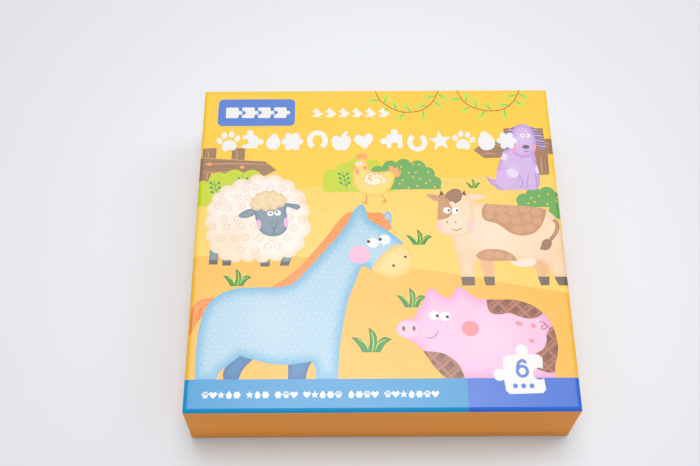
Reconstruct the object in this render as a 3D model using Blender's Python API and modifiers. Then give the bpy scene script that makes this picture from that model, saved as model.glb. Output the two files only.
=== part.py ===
"""A boxed set of six picture puzzles, in metres, +Z up.

The box is a rigid set-up box: a greyboard base and a full-depth greyboard lid, each wrapped in
paper that turns in over its rim. The base's wrap also turns under it, and a flat sheet covers that.
Inside lies a stack of six wooden tray puzzles. A tray is a back board with a frame glued to it, and
the frame holds six interlocking picture pieces. The origin is the centre of the base's underside.
"""

import math

import bmesh
import bpy

MM = 0.001

# The closed box, outside. Its height follows from what it holds.
BOX_WIDTH = 180.0 * MM
BOX_DEPTH = 173.0 * MM

# Paper and board. A glue line is drawn as a gap, so that the layers stay separate solids.
BOARD = 1.5 * MM
PAPER = 0.3 * MM
GLUE_LINE = 0.3 * MM
TURN_IN = 15.0 * MM
TURN_IN_RADIUS = 0.3 * MM
TURN_UNDER = 12.0 * MM
BOTTOM_SHEET_INSET = 3.0 * MM
FOLD_RADIUS = 1.6 * MM
FOLD_STEPS = 4
MOUTH_NORMAL = 0.99

# How the lid goes over the base.
LID_SLIDE_PLAY = 0.6 * MM
LID_SEAT_GAP = 0.3 * MM
BASE_REVEAL = 0.8 * MM

# The tray puzzles.
ANIMALS = ("hen", "dog", "pig", "cow", "sheep", "horse")
TRAY_BACK = 2.0 * MM
TRAY_FRAME = 3.0 * MM
TRAY_BORDER = 12.0 * MM
TRAY_CORNER = 8.0 * MM
TRAY_PLAY = 1.0 * MM
TRAY_STACK_GAP = 0.3 * MM
HEADROOM = 5.4 * MM
CORNER_STEPS = 4

# The picture pieces, and the saw cuts that interlock them.
COLUMNS = 3
ROWS = 2
CUT_WIDTH = 0.3 * MM
WINDOW_PLAY = 0.4 * MM
WINDOW_CORNER = 6.0 * MM
KNOB_RADIUS = 7.0 * MM
KNOB_CENTRE = 8.4 * MM
NECK_RADIUS = 2.8 * MM
KNOB_STEPS = 8
NECK_STEPS = 2

# What follows from the sizes above.
SKIN = PAPER + GLUE_LINE
WALL = SKIN + BOARD + SKIN
TRAY_PITCH = TRAY_BACK + GLUE_LINE + TRAY_FRAME + TRAY_STACK_GAP
BASE_FLOOR = SKIN + WALL
BOX_HEIGHT = BASE_FLOOR + len(ANIMALS) * TRAY_PITCH + HEADROOM + WALL
BASE_WIDTH = BOX_WIDTH - 2 * (WALL + LID_SLIDE_PLAY)
BASE_DEPTH = BOX_DEPTH - 2 * (WALL + LID_SLIDE_PLAY)
BASE_HEIGHT = BOX_HEIGHT - WALL - LID_SEAT_GAP
TRAY_WIDTH = BASE_WIDTH - 2 * (WALL + TRAY_PLAY)
TRAY_DEPTH = BASE_DEPTH - 2 * (WALL + TRAY_PLAY)
WINDOW_WIDTH = TRAY_WIDTH - 2 * TRAY_BORDER
WINDOW_DEPTH = TRAY_DEPTH - 2 * TRAY_BORDER
PICTURE_WIDTH = WINDOW_WIDTH - 2 * WINDOW_PLAY
PICTURE_DEPTH = WINDOW_DEPTH - 2 * WINDOW_PLAY

COLOURS = {
    "greyboard": ((0.42, 0.39, 0.35), 0.9),
    "orange_wrap": ((0.87, 0.36, 0.03), 0.45),
    "printed_wrap": ((0.95, 0.55, 0.04), 0.4),
    "white_liner": ((0.86, 0.85, 0.82), 0.7),
    "plywood": ((0.72, 0.53, 0.33), 0.6),
    "hen_print": ((0.93, 0.72, 0.12), 0.45),
    "dog_print": ((0.42, 0.26, 0.62), 0.45),
    "pig_print": ((0.90, 0.42, 0.62), 0.45),
    "cow_print": ((0.80, 0.55, 0.34), 0.45),
    "sheep_print": ((0.90, 0.86, 0.74), 0.45),
    "horse_print": ((0.34, 0.66, 0.86), 0.45),
}


def clear_scene():
    """Removes every object that the file opened with."""
    for old in list(bpy.data.objects):
        bpy.data.objects.remove(old, do_unlink=True)


def make_material(name):
    """A Principled material with the colour and roughness that COLOURS gives."""
    colour, roughness = COLOURS[name]
    material = bpy.data.materials.new(name)
    material.use_nodes = True
    shader = material.node_tree.nodes["Principled BSDF"]
    shader.inputs["Base Color"].default_value = (*colour, 1.0)
    shader.inputs["Roughness"].default_value = roughness
    shader.inputs["Metallic"].default_value = 0.0
    return material


def add_object(name, data, material, collection):
    """Links a new object that holds data and wears the material."""
    data.materials.append(material)
    thing = bpy.data.objects.new(name, data)
    collection.objects.link(thing)
    return thing


def add_plate(name, width, depth, low, high, material, collection):
    """A flat rectangular sheet between two heights."""
    mesh = bpy.data.meshes.new(name)
    sheet = bmesh.new()
    bmesh.ops.create_cube(sheet, size=1.0)
    bmesh.ops.scale(sheet, vec=(width, depth, high - low), verts=sheet.verts)
    sheet.to_mesh(mesh)
    sheet.free()
    plate = add_object(name, mesh, material, collection)
    plate.location.z = (low + high) / 2
    return plate


def folded_block(width, depth, height, mouth_side, radius):
    """A block round the origin, rounded along every edge but those of its top (+1) or bottom (-1) mouth."""
    block = bmesh.new()
    bmesh.ops.create_cube(block, size=1.0)
    bmesh.ops.scale(block, vec=(width, depth, height), verts=block.verts)
    mouth_height = mouth_side * height / 2
    folds = [edge for edge in block.edges if any(v.co.z * mouth_height < 0 for v in edge.verts)]
    bmesh.ops.bevel(
        block,
        geom=folds,
        offset=radius,
        offset_type="OFFSET",
        segments=FOLD_STEPS,
        profile=0.5,
        affect="EDGES",
    )
    return block


def open_box(width, depth, height, mouth_side, radius):
    """The surface of a folded block without its mouth."""
    box = folded_block(width, depth, height, mouth_side, radius)
    mouth = [face for face in box.faces if face.normal.z * mouth_side > MOUTH_NORMAL]
    bmesh.ops.delete(box, geom=mouth, context="FACES_ONLY")
    return box


def extrude_rim(box):
    """Adds a strip of faces along the mouth's edge and returns the strip's free vertices."""
    rim = [edge for edge in box.edges if edge.is_boundary]
    grown = bmesh.ops.extrude_edge_only(box, edges=rim)["geom"]
    return [item for item in grown if isinstance(item, bmesh.types.BMVert)]


def fold_in(box, width, depth, radius, inset):
    """Carries the mouth's edge inwards by inset, level, with the corners' radius cut to TURN_IN_RADIUS."""
    for vertex in extrude_rim(box):
        for axis, half in ((0, width / 2), (1, depth / 2)):
            round_part = abs(vertex.co[axis]) - (half - radius)
            reach = half - inset - TURN_IN_RADIUS * (1 - round_part / radius)
            vertex.co[axis] = math.copysign(reach, vertex.co[axis])


def add_board(name, width, depth, low, high, mouth_side, material, collections):
    """The greyboard of a lid or base whose wrapped size is given: rounded outside, square inside."""
    collection, cutters = collections
    height = high - low - 2 * SKIN
    block = folded_block(width - 2 * SKIN, depth - 2 * SKIN, height, mouth_side, FOLD_RADIUS - SKIN)
    mesh = bpy.data.meshes.new(name)
    block.to_mesh(mesh)
    block.free()
    board = add_object(name, mesh, material, collection)
    board.location.z = (low + high) / 2
    inside = SKIN + BOARD
    floor, mouth = (low + inside, high) if mouth_side > 0 else (low, high - inside)
    hollow = add_plate(
        f"{name}_hollow", width - 2 * inside, depth - 2 * inside, floor, mouth, material, cutters
    )
    hollow.hide_render = True
    hollow.display_type = "WIRE"
    cut = board.modifiers.new("hollow", "BOOLEAN")
    cut.operation = "DIFFERENCE"
    cut.solver = "EXACT"
    cut.object = hollow
    return board


def open_panel(box, mouth_side, margin):
    """Leaves only a margin of the panel opposite the mouth."""
    panel = [face for face in box.faces if face.normal.z * mouth_side < -MOUTH_NORMAL]
    bmesh.ops.inset_region(box, faces=panel, thickness=margin, use_even_offset=True)
    bmesh.ops.delete(box, geom=panel, context="FACES_ONLY")


def add_wrap(name, width, depth, low, high, mouth_side, material, collection, turn_under=None):
    """The paper round a lid or base: four walls, a turn-in over the rim, and a panel or a turn-under."""
    box = open_box(width, depth, high - low, mouth_side, FOLD_RADIUS)
    fold_in(box, width, depth, FOLD_RADIUS, WALL)
    for vertex in extrude_rim(box):
        vertex.co.z -= mouth_side * TURN_IN
    if turn_under:
        open_panel(box, mouth_side, turn_under)
    mesh = bpy.data.meshes.new(name)
    box.to_mesh(mesh)
    box.free()
    wrap = add_object(name, mesh, material, collection)
    wrap.location.z = (low + high) / 2
    paper = wrap.modifiers.new("paper", "SOLIDIFY")
    paper.thickness = PAPER
    paper.offset = -1.0
    paper.use_even_offset = True
    paper.use_quality_normals = True
    return wrap


def arc(centre_x, centre_y, radius, start, end, steps):
    """Points along a circular arc, both ends included, with its angles in radians."""
    turn = [start + (end - start) * step / steps for step in range(steps + 1)]
    return [(centre_x + radius * math.cos(a), centre_y + radius * math.sin(a)) for a in turn]


def rounded_rectangle(width, depth, radius):
    """An anticlockwise outline round the origin."""
    x, y = width / 2 - radius, depth / 2 - radius
    corners = ((x, y, 0), (-x, y, 1), (-x, -y, 2), (x, -y, 3))
    outline = []
    for centre_x, centre_y, quarter in corners:
        start = quarter * math.pi / 2
        outline += arc(centre_x, centre_y, radius, start, start + math.pi / 2, CORNER_STEPS)
    return outline


def knob(gap):
    """A jigsaw knob standing on y = -gap and centred on x = 0, drawn smaller by gap all round."""
    lift = KNOB_CENTRE - NECK_RADIUS
    reach = KNOB_RADIUS + NECK_RADIUS
    foot = math.sqrt(reach**2 - lift**2)
    lean = math.atan2(lift, foot)
    neck, head = NECK_RADIUS + gap, KNOB_RADIUS - gap
    left = arc(-foot, NECK_RADIUS, neck, -math.pi / 2, lean, NECK_STEPS)
    top = arc(0.0, KNOB_CENTRE, head, math.pi + lean, -lean, KNOB_STEPS)
    right = arc(foot, NECK_RADIUS, neck, math.pi - lean, 1.5 * math.pi, NECK_STEPS)
    return left + top[1:-1] + right


def piece_side(length, kind):
    """One side of a piece, along +X from 0, with +Y outwards. kind is 0 straight, 1 tab, -1 socket."""
    if kind == 0:
        return []
    gap = kind * CUT_WIDTH / 2
    return [(length / 2 + x, kind * (y + gap) + 0.0) for x, y in knob(gap)]


def cut_kinds(puzzle):
    """Which way each saw cut's knob points in one puzzle: {(column, row, 'x' or 'y'): 1 or -1}."""
    kinds = {}
    for column in range(COLUMNS):
        for row in range(ROWS):
            kinds[column, row, "x"] = 1 if (column + 2 * row + puzzle) % 3 else -1
            kinds[column, row, "y"] = 1 if (2 * column + row + puzzle) % 2 else -1
    return kinds


def piece_outline(column, row, kinds):
    """The anticlockwise outline of one piece, in the puzzle's own plane."""
    pitch_x, pitch_y = PICTURE_WIDTH / COLUMNS, PICTURE_DEPTH / ROWS
    edges = {"left": column == 0, "right": column == COLUMNS - 1, "low": row == 0, "high": row == ROWS - 1}
    half_cut = CUT_WIDTH / 2
    x0 = -PICTURE_WIDTH / 2 + column * pitch_x + (0 if edges["left"] else half_cut)
    x1 = -PICTURE_WIDTH / 2 + (column + 1) * pitch_x - (0 if edges["right"] else half_cut)
    y0 = -PICTURE_DEPTH / 2 + row * pitch_y + (0 if edges["low"] else half_cut)
    y1 = -PICTURE_DEPTH / 2 + (row + 1) * pitch_y - (0 if edges["high"] else half_cut)
    knobs = (
        0 if edges["low"] else -kinds[column, row - 1, "y"],
        0 if edges["right"] else kinds[column, row, "x"],
        0 if edges["high"] else kinds[column, row, "y"],
        0 if edges["left"] else -kinds[column - 1, row, "x"],
    )
    rounded = (
        edges["low"] and edges["left"],
        edges["low"] and edges["right"],
        edges["high"] and edges["right"],
        edges["high"] and edges["left"],
    )
    corners = ((x0, y0), (x1, y0), (x1, y1), (x0, y1))
    radius = WINDOW_CORNER - WINDOW_PLAY
    outline = []
    for side, (corner_x, corner_y) in enumerate(corners):
        along = side * math.pi / 2
        if rounded[side]:
            inwards = along + math.pi / 4
            centre_x = corner_x + radius * math.sqrt(2) * math.cos(inwards)
            centre_y = corner_y + radius * math.sqrt(2) * math.sin(inwards)
            outline += arc(centre_x, centre_y, radius, along + math.pi, along + 1.5 * math.pi, CORNER_STEPS)
        else:
            outline.append((corner_x, corner_y))
        next_x, next_y = corners[(side + 1) % 4]
        length = math.hypot(next_x - corner_x, next_y - corner_y)
        for x, y in piece_side(length, knobs[side]):
            outline.append(
                (
                    corner_x + x * math.cos(along) + y * math.sin(along),
                    corner_y + x * math.sin(along) - y * math.cos(along),
                )
            )
    return outline


def add_sheet(name, outlines, low, thickness, material, collection):
    """A flat board cut to one outline, with any further outlines as holes in it."""
    curve = bpy.data.curves.new(name, "CURVE")
    curve.dimensions = "2D"
    curve.fill_mode = "BOTH"
    curve.extrude = thickness / 2
    for outline in outlines:
        spline = curve.splines.new("POLY")
        spline.points.add(len(outline) - 1)
        for point, (x, y) in zip(spline.points, outline):
            point.co = (x, y, 0.0, 1.0)
        spline.use_cyclic_u = True
    sheet = add_object(name, curve, material, collection)
    sheet.location.z = low + thickness / 2
    return sheet


def add_puzzle(number, animal, low, materials, collection):
    """One tray puzzle standing on low: back, frame and picture pieces."""
    tray = rounded_rectangle(TRAY_WIDTH, TRAY_DEPTH, TRAY_CORNER)
    window = rounded_rectangle(WINDOW_WIDTH, WINDOW_DEPTH, WINDOW_CORNER)
    wood = materials["plywood"]
    face = low + TRAY_BACK + GLUE_LINE
    add_sheet(f"{animal}_tray_back", [tray], low, TRAY_BACK, wood, collection)
    add_sheet(f"{animal}_tray_frame", [tray, window], face, TRAY_FRAME, wood, collection)
    kinds = cut_kinds(number)
    for row in range(ROWS):
        for column in range(COLUMNS):
            name = f"{animal}_piece_{row * COLUMNS + column + 1}"
            outline = piece_outline(column, row, kinds)
            add_sheet(name, [outline], face, TRAY_FRAME, materials[f"{animal}_print"], collection)


def add_base(materials, collections):
    """Wrapped greyboard base, open at the top, with a sheet under it and a paper liner on its floor."""
    collection = collections[0]
    orange = materials["orange_wrap"]
    size = (BASE_WIDTH, BASE_DEPTH, SKIN, BASE_HEIGHT)
    add_wrap("base_wrap", *size, 1, orange, collection, turn_under=TURN_UNDER)
    add_board("base_board", *size, 1, materials["greyboard"], collections)
    width, depth = BASE_WIDTH - 2 * BOTTOM_SHEET_INSET, BASE_DEPTH - 2 * BOTTOM_SHEET_INSET
    add_plate("base_bottom_sheet", width, depth, 0.0, PAPER, orange, collection)
    width, depth = BASE_WIDTH - 2 * WALL, BASE_DEPTH - 2 * WALL
    add_plate(
        "base_liner", width, depth, BASE_FLOOR - PAPER, BASE_FLOOR, materials["white_liner"], collection
    )


def add_lid(materials, collections):
    """Wrapped greyboard lid, open at the bottom, with a paper liner under its panel."""
    collection = collections[0]
    size = (BOX_WIDTH, BOX_DEPTH, BASE_REVEAL, BOX_HEIGHT)
    add_wrap("lid_wrap", *size, -1, materials["printed_wrap"], collection)
    add_board("lid_board", *size, -1, materials["greyboard"], collections)
    low = BOX_HEIGHT - WALL
    width, depth = BOX_WIDTH - 2 * WALL, BOX_DEPTH - 2 * WALL
    add_plate("lid_liner", width, depth, low, low + PAPER, materials["white_liner"], collection)


def main():
    """Builds the box and its six puzzles, bottom of the stack first."""
    clear_scene()
    collections = [bpy.data.collections.new(name) for name in ("boxed_puzzle_set", "cutters")]
    for collection in collections:
        bpy.context.scene.collection.children.link(collection)
    materials = {name: make_material(name) for name in COLOURS}
    add_base(materials, collections)
    stack_floor = BASE_FLOOR + TRAY_STACK_GAP
    for number, animal in enumerate(ANIMALS):
        add_puzzle(number, animal, stack_floor + number * TRAY_PITCH, materials, collections[0])
    add_lid(materials, collections)


main()
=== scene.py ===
"""Looks of a boxed set of six farm-animal tray puzzles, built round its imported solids.

The print on the lid and on the puzzles is drawn as flat outlines in millimetres, cut into one sheet
of triangles, coloured shape by shape, and then folded over the lid or cut into picture pieces.
"""

import logging
import math
from dataclasses import dataclass, replace
from enum import Enum
from typing import Any, Iterable, Sequence

import bpy
import numpy as np
from mathutils import Matrix, Vector
from mathutils.geometry import delaunay_2d_cdt


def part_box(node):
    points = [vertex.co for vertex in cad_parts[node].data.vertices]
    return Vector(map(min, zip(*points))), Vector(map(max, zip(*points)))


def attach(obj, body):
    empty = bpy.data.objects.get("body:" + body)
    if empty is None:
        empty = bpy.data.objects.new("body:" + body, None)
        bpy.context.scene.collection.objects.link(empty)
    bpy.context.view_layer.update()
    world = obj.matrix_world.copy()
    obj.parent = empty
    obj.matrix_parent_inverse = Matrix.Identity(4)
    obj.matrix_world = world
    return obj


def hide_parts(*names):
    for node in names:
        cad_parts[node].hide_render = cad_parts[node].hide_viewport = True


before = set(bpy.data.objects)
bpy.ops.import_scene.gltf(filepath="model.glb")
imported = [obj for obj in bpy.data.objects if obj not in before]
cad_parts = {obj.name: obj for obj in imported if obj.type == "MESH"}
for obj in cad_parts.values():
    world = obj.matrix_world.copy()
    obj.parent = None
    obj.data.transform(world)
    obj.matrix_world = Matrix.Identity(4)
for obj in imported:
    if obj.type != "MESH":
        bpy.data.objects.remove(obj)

LOG = logging.getLogger("boxed_puzzle")
MM = 0.001
INK = "ink"
TINY = 1e-9
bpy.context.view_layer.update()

Points = np.ndarray
Number = int | float


# ---------------------------------------------------------------- shader maths


class Wire:
    """A node's output that Python's operators join to others with Math nodes."""

    def __init__(self, graph: "Graph", socket: bpy.types.NodeSocket) -> None:
        """Keeps the socket and the graph that new nodes go into."""
        self.graph = graph
        self.socket = socket

    def _join(self, operation: str, first: Any, second: Any) -> "Wire":
        """A Math node on two values, either of them a wire or a number."""
        return self.graph.node("ShaderNodeMath", {"operation": operation}, {0: first, 1: second})

    def __add__(self, other: Any) -> "Wire":
        """The sum."""
        return self._join("ADD", self, other)

    def __radd__(self, other: Any) -> "Wire":
        """The sum, reflected."""
        return self._join("ADD", other, self)

    def __sub__(self, other: Any) -> "Wire":
        """The difference."""
        return self._join("SUBTRACT", self, other)

    def __rsub__(self, other: Any) -> "Wire":
        """The difference, reflected."""
        return self._join("SUBTRACT", other, self)

    def __mul__(self, other: Any) -> "Wire":
        """The product."""
        return self._join("MULTIPLY", self, other)

    def __rmul__(self, other: Any) -> "Wire":
        """The product, reflected."""
        return self._join("MULTIPLY", other, self)

    def __gt__(self, other: Any) -> "Wire":
        """1 where this is greater, else 0."""
        return self._join("GREATER_THAN", self, other)

    def between(self, low: Number, high: Number) -> "Wire":
        """0 at low and 1 at high, with a smooth step from one to the other."""
        return self.graph.node(
            "ShaderNodeMapRange",
            {"interpolation_type": "SMOOTHSTEP"},
            {"Value": self, "From Min": low, "From Max": high},
        )

    def tint(self, other: "Wire", amount: Any) -> "Wire":
        """This colour mixed with another one.

        Args:
            other: the colour that is mixed in.
            amount: how much of it, as a wire or a number.

        Returns:
            The mixed colour.
        """
        inputs = {0: amount, 6: self, 7: other}
        return self.graph.node("ShaderNodeMix", {"data_type": "RGBA"}, inputs, output=2)

    def scaled(self, factor: Any) -> "Wire":
        """This colour or vector times a number or a value."""
        return self.graph.node("ShaderNodeVectorMath", {"operation": "SCALE"}, {0: self, "Scale": factor})


class Graph:
    """A new material's node tree and its Principled shader."""

    def __init__(self, name: str) -> None:
        """Makes the material.

        Args:
            name: the material's name.
        """
        self.material = bpy.data.materials.new(name)
        self.material.use_nodes = True
        self.tree = self.material.node_tree
        self.shader = self.tree.nodes["Principled BSDF"]

    def node(self, kind: str, settings: dict[str, Any], inputs: dict[Any, Any], output: Any = 0) -> Wire:
        """Adds a node.

        Args:
            kind: the node's type.
            settings: its own properties, set before its sockets.
            inputs: socket to wire, or to a plain value.
            output: the output to return, by place or name.

        Returns:
            The node's output.
        """
        made = self.tree.nodes.new(kind)
        for key, value in settings.items():
            setattr(made, key, value)
        for key, value in inputs.items():
            self.plug(value, made.inputs[key])
        return Wire(self, made.outputs[output])

    def plug(self, value: Any, socket: bpy.types.NodeSocket) -> None:
        """Links a wire to a socket, or sets the socket to a plain value."""
        if isinstance(value, Wire):
            self.tree.links.new(value.socket, socket)
        else:
            socket.default_value = value

    def place(self) -> Wire:
        """The point being shaded, in metres, in the piece's own space."""
        return self.node("ShaderNodeTexCoord", {}, {}, output="Object")

    def ink(self) -> Wire:
        """The printed colour that the mesh's corners carry."""
        return self.node("ShaderNodeAttribute", {"attribute_name": INK}, {}, output="Color")

    def height(self) -> Wire:
        """How high the point being shaded lies, in metres."""
        return self.node("ShaderNodeSeparateXYZ", {}, {0: self.place()}, output="Z")

    def noise(self, size: float, detail: float = 2.0, stretch: Sequence[float] = (1, 1, 1)) -> Wire:
        """Noise whose lumps measure about size metres.

        Args:
            size: the lumps' size.
            detail: how many finer octaves it has.
            stretch: the lumps' length along each axis, as a multiple of size.

        Returns:
            A value round 0.5.
        """
        scale = [1 / (size * length) for length in stretch]
        where = self.node("ShaderNodeMapping", {}, {"Vector": self.place(), "Scale": scale})
        return self.node("ShaderNodeTexNoise", {}, {"Vector": where, "Scale": 1.0, "Detail": detail})

    def colour(self, ink: "Hue | str") -> Wire:
        """A colour as a node's output."""
        rgb = self.node("ShaderNodeRGB", {}, {})
        rgb.socket.default_value = (*linear(ink), 1.0)
        return rgb

    def bump(self, height: Wire, depth: float, strength: float = 1.0) -> None:
        """Feeds the shader's normal.

        Args:
            height: the relief, from 0 to 1.
            depth: how far 1 stands above 0, in metres.
            strength: how much of the relief is felt.
        """
        relief = {"Height": height, "Distance": depth, "Strength": strength}
        self.plug(self.node("ShaderNodeBump", {}, relief), self.shader.inputs["Normal"])

    def finish(self, colour: Any, roughness: Any, **constants: float) -> bpy.types.Material:
        """Sets the shader.

        Args:
            colour: the base colour, a wire.
            roughness: the roughness, a wire or a number.
            constants: further sockets by name, with _ for a space.

        Returns:
            The material.
        """
        self.plug(colour, self.shader.inputs["Base Color"])
        self.plug(roughness, self.shader.inputs["Roughness"])
        for key, value in constants.items():
            self.shader.inputs[key.replace("_", " ")].default_value = value
        return self.material


def linear(ink: "Hue | str") -> Points:
    """The linear RGB of an ink given as six hexadecimal digits."""
    digits = ink.value if isinstance(ink, Enum) else ink
    srgb = np.array([int(digits[i : i + 2], 16) for i in (0, 2, 4)]) / 255
    return np.where(srgb <= 0.04045, srgb / 12.92, ((srgb + 0.055) / 1.055) ** 2.4)


class Hue(Enum):
    """The inks of the print and the colours of the plain materials."""

    WHITE = "E5E4E2"
    SKY = "F4C22E"
    FIELD = "F1C758"
    MEADOW = "EBB238"
    BAND = "128CC4"
    ROYAL = "2C66CA"
    BADGE = "4A77C9"
    WALL = "E48F24"
    FENCE = "9A714E"
    FENCE_DARK = "84583A"
    FENCE_LINE = "E3AB70"
    LIME = "BDCB00"
    LIME_DARK = "00934B"
    LEAF = "5FA048"
    LEAF_DOT = "F1BE00"
    GRASS = "128416"
    SHOOT = "58B92C"
    GRASS_DARK = "16701C"
    VEIN = "B9CF00"
    SPROUT = "C3D748"
    VINE = "914900"
    TICK = "E2AE1D"
    TICK_PALE = "F1C980"
    HORSE = "A6C6D8"
    HORSE_RIM = "5DA8CD"
    HORSE_FAR = "2A7DAA"
    HORSE_FAR_RIM = "004297"
    HORSE_DASH = "3F93BE"
    MANE = "EB9038"
    MANE_LINE = "D45A00"
    CHEEK = "EBACCC"
    MUZZLE = "EBCC7B"
    MUZZLE_RIM = "E0B645"
    EYE = "EFEFEF"
    PUPIL = "2C0000"
    WOOL = "EDE4DC"
    WOOL_RIM = "E6CBA1"
    CURL = "DDB68C"
    SHEEP_FACE = "7A8E9B"
    SHEEP_RIM = "48687C"
    SHEEP_LINE = "001436"
    TOPKNOT = "E7CEA7"
    TOPKNOT_RIM = "D9B26C"
    HOOF = "4E4B40"
    HEN = "F2CF6B"
    HEN_RIM = "E3B02C"
    COMB = "EDA060"
    WING = "EFD7A4"
    HEN_LEG = "DC802F"
    COW = "F0D0B0"
    COW_RIM = "E6B987"
    COW_FAR = "E3AE76"
    PATCH = "C48C5E"
    PATCH_RING = "D6A98C"
    COW_HAIR = "9A6F50"
    UDDER = "F0D9CC"
    PIG = "E7B9D6"
    PIG_RIM = "E295C6"
    PIG_NOSE = "E5BFD3"
    PIG_CHEEK = "E98A91"
    PIG_LINE = "B8587F"
    CHECK = "8C4C2E"
    CHECK_DARK = "74402C"
    CHECK_LINE = "A8694F"
    DOG = "CCACDB"
    DOG_RIM = "A983C8"
    DOG_SPOT = "DECFE6"
    DOG_EAR = "70639E"
    DOG_STRIPE = "D6B993"
    DOG_NOSE = "675F6B"
    GREYBOARD = "A79E92"
    GREYBOARD_FLECK = "6F665C"
    LINER = "EFEDE8"
    PLY = "E2C49A"
    PLY_GRAIN = "C69C68"
    PLY_CORE = "B98A58"
    PLY_BURN = "7A5230"
    FLOOR = "D8D9DF"
    # The floor's colour close to the box, painted cooler to cancel the orange light that the walls bounce onto
    # it.
    FLOOR_PAINTED_COOL_NEAR_BOX = "DDE5EA"
    COW_DARK = "5E4432"
    COW_HOOF = "6A5A48"
    COW_LIGHT = "F0DCC8"
    # The orange where the print turns over the lid's fold, painted brighter than WALL as a painted highlight
    # on the curved edge.
    FOLD_ORANGE_PAINTED_HIGHLIGHT = "F7A32E"
    BLUSH = "EFBCBE"
    DOG_LIGHT = "D8C4E6"
    DOG_LINE = "5F3091"
    EYE_RIM = "D0CBC7"
    HORSE_LIGHT = "BED2DD"
    LEAF_LIGHT = "A5CE3A"
    MUZZLE_LIGHT = "EBD6A4"
    PATCH_RIM = "B07C4C"
    PIG_CHEEK_PALE = "F491BA"
    PIG_LIGHT = "ECCDE0"
    PIG_TAIL = "C9586F"
    SHEEP_LIGHT = "798E9D"


# ---------------------------------------------------------------- outlines, in millimetres


def bend(*knots: Sequence[float], closed: bool = True, pitch: float = 0.8) -> Points:
    """A smooth line through knots.

    Args:
        knots: (x, y), or (x, y, 1) where the line turns a corner.
        closed: whether the last knot joins the first.
        pitch: the greatest distance between the points returned.

    Returns:
        The points along the line.
    """
    spots = [np.array(k[:2], float) for k in knots]
    sharp = [len(k) > 2 for k in knots]
    count = len(spots)
    line: list[Points] = []
    for i in range(count if closed else count - 1):
        a, b = spots[i], spots[(i + 1) % count]
        before = a if sharp[i] or (not closed and i == 0) else spots[i - 1]
        last = sharp[(i + 1) % count] or (not closed and i == count - 2)
        after = b if last else spots[(i + 2) % count]
        length = float(np.linalg.norm(b - a))
        leave = (b - before) * length / (np.linalg.norm(b - a) + np.linalg.norm(a - before) + TINY)
        arrive = (after - a) * length / (np.linalg.norm(after - b) + np.linalg.norm(b - a) + TINY)
        steps = max(2, int(math.ceil(length / pitch)))
        t = np.arange(steps)[:, None] / steps
        line.append(
            (2 * t**3 - 3 * t**2 + 1) * a
            + (t**3 - 2 * t**2 + t) * leave
            + (3 * t**2 - 2 * t**3) * b
            + (t**3 - t**2) * arrive
        )
    if not closed:
        line.append(spots[-1][None])
    return np.concatenate(line)


def oval(x: float, y: float, across: float, up: float, turn: float = 0.0) -> Points:
    """An ellipse.

    Args:
        x: its centre's x.
        y: its centre's y.
        across: its half-width.
        up: its half-height.
        turn: how far it is turned, in degrees.

    Returns:
        Its outline.
    """
    steps = max(10, int(2.2 * math.pi * math.sqrt(max(across, up))))
    angle = np.arange(steps) * 2 * math.pi / steps
    flat = np.stack([across * np.cos(angle), up * np.sin(angle)], 1)
    return turned(flat, turn) + (x, y)


def turned(points: Points, degrees: float) -> Points:
    """Points turned round the origin."""
    c, s = math.cos(math.radians(degrees)), math.sin(math.radians(degrees))
    return points @ np.array([[c, s], [-s, c]])


def panel(x: float, y: float, width: float, height: float, corner: float = 0, crisp: float = 1) -> Points:
    """A rectangle round (x, y) with rounded corners, which a crisp below 1 makes squarer."""
    across, up = width / 2 - corner, height / 2 - corner
    if not corner:
        return np.array([(-across, -up), (across, -up), (across, up), (-across, up)]) + (x, y)
    quarter = np.linspace(0, math.pi / 2, 6)
    parts = []
    for number, (side, rise) in enumerate(((1, 1), (-1, 1), (-1, -1), (1, -1))):
        angle = quarter + number * math.pi / 2
        bow = np.stack([np.cos(angle), np.sin(angle)], 1)
        bow = corner * np.sign(bow) * np.abs(bow) ** crisp
        parts.append(bow + (x + side * across, y + rise * up))
    return np.concatenate(parts)


def scallop(
    x: float, y: float, across: float, up: float, lobes: int, depth: float, start: float = 0.0
) -> Points:
    """An ellipse whose edge is a ring of round lobes.

    Args:
        x: its centre's x.
        y: its centre's y.
        across: its half-width, at the lobes' tops.
        up: its half-height, at the lobes' tops.
        lobes: how many lobes there are.
        depth: how deep the notches between them are, as a share of the size.
        start: where the first notch is, in degrees.

    Returns:
        Its outline.
    """
    steps = lobes * 12
    angle = np.arange(steps) * 2 * math.pi / steps
    swell = 1 - depth + depth * np.abs(np.sin(angle * lobes / 2)) ** 0.8
    turn = angle + math.radians(start)
    return np.stack([x + across * swell * np.cos(turn), y + up * swell * np.sin(turn)], 1)


def anticlockwise(outline: Points) -> bool:
    """Whether an outline runs anticlockwise."""
    x, y = outline[:, 0], outline[:, 1]
    return float((x * np.roll(y, -1) - np.roll(x, -1) * y).sum()) > 0


def inwards(step: Points) -> Points:
    """The unit vectors to the left of steps along an outline."""
    return np.stack([-step[:, 1], step[:, 0]], 1) / (np.linalg.norm(step, axis=1)[:, None] + TINY)


def puffs(*notches: Sequence[float], bulge: float = 0.3) -> Points:
    """An outline of round lobes that meet in notches, which are given anticlockwise or clockwise."""
    spots = np.array(notches, float)
    side = 1 if anticlockwise(spots) else -1
    parts = []
    for here, after in zip(spots, np.roll(spots, -1, 0)):
        step = after - here
        share = np.linspace(0, 1, max(6, int(np.linalg.norm(step) / 0.9)), endpoint=False)[:, None]
        rise = bulge * np.sin(math.pi * share) ** 0.8
        parts.append(here + step * share + side * np.array([step[1], -step[0]]) * rise)
    return np.concatenate(parts)


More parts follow.
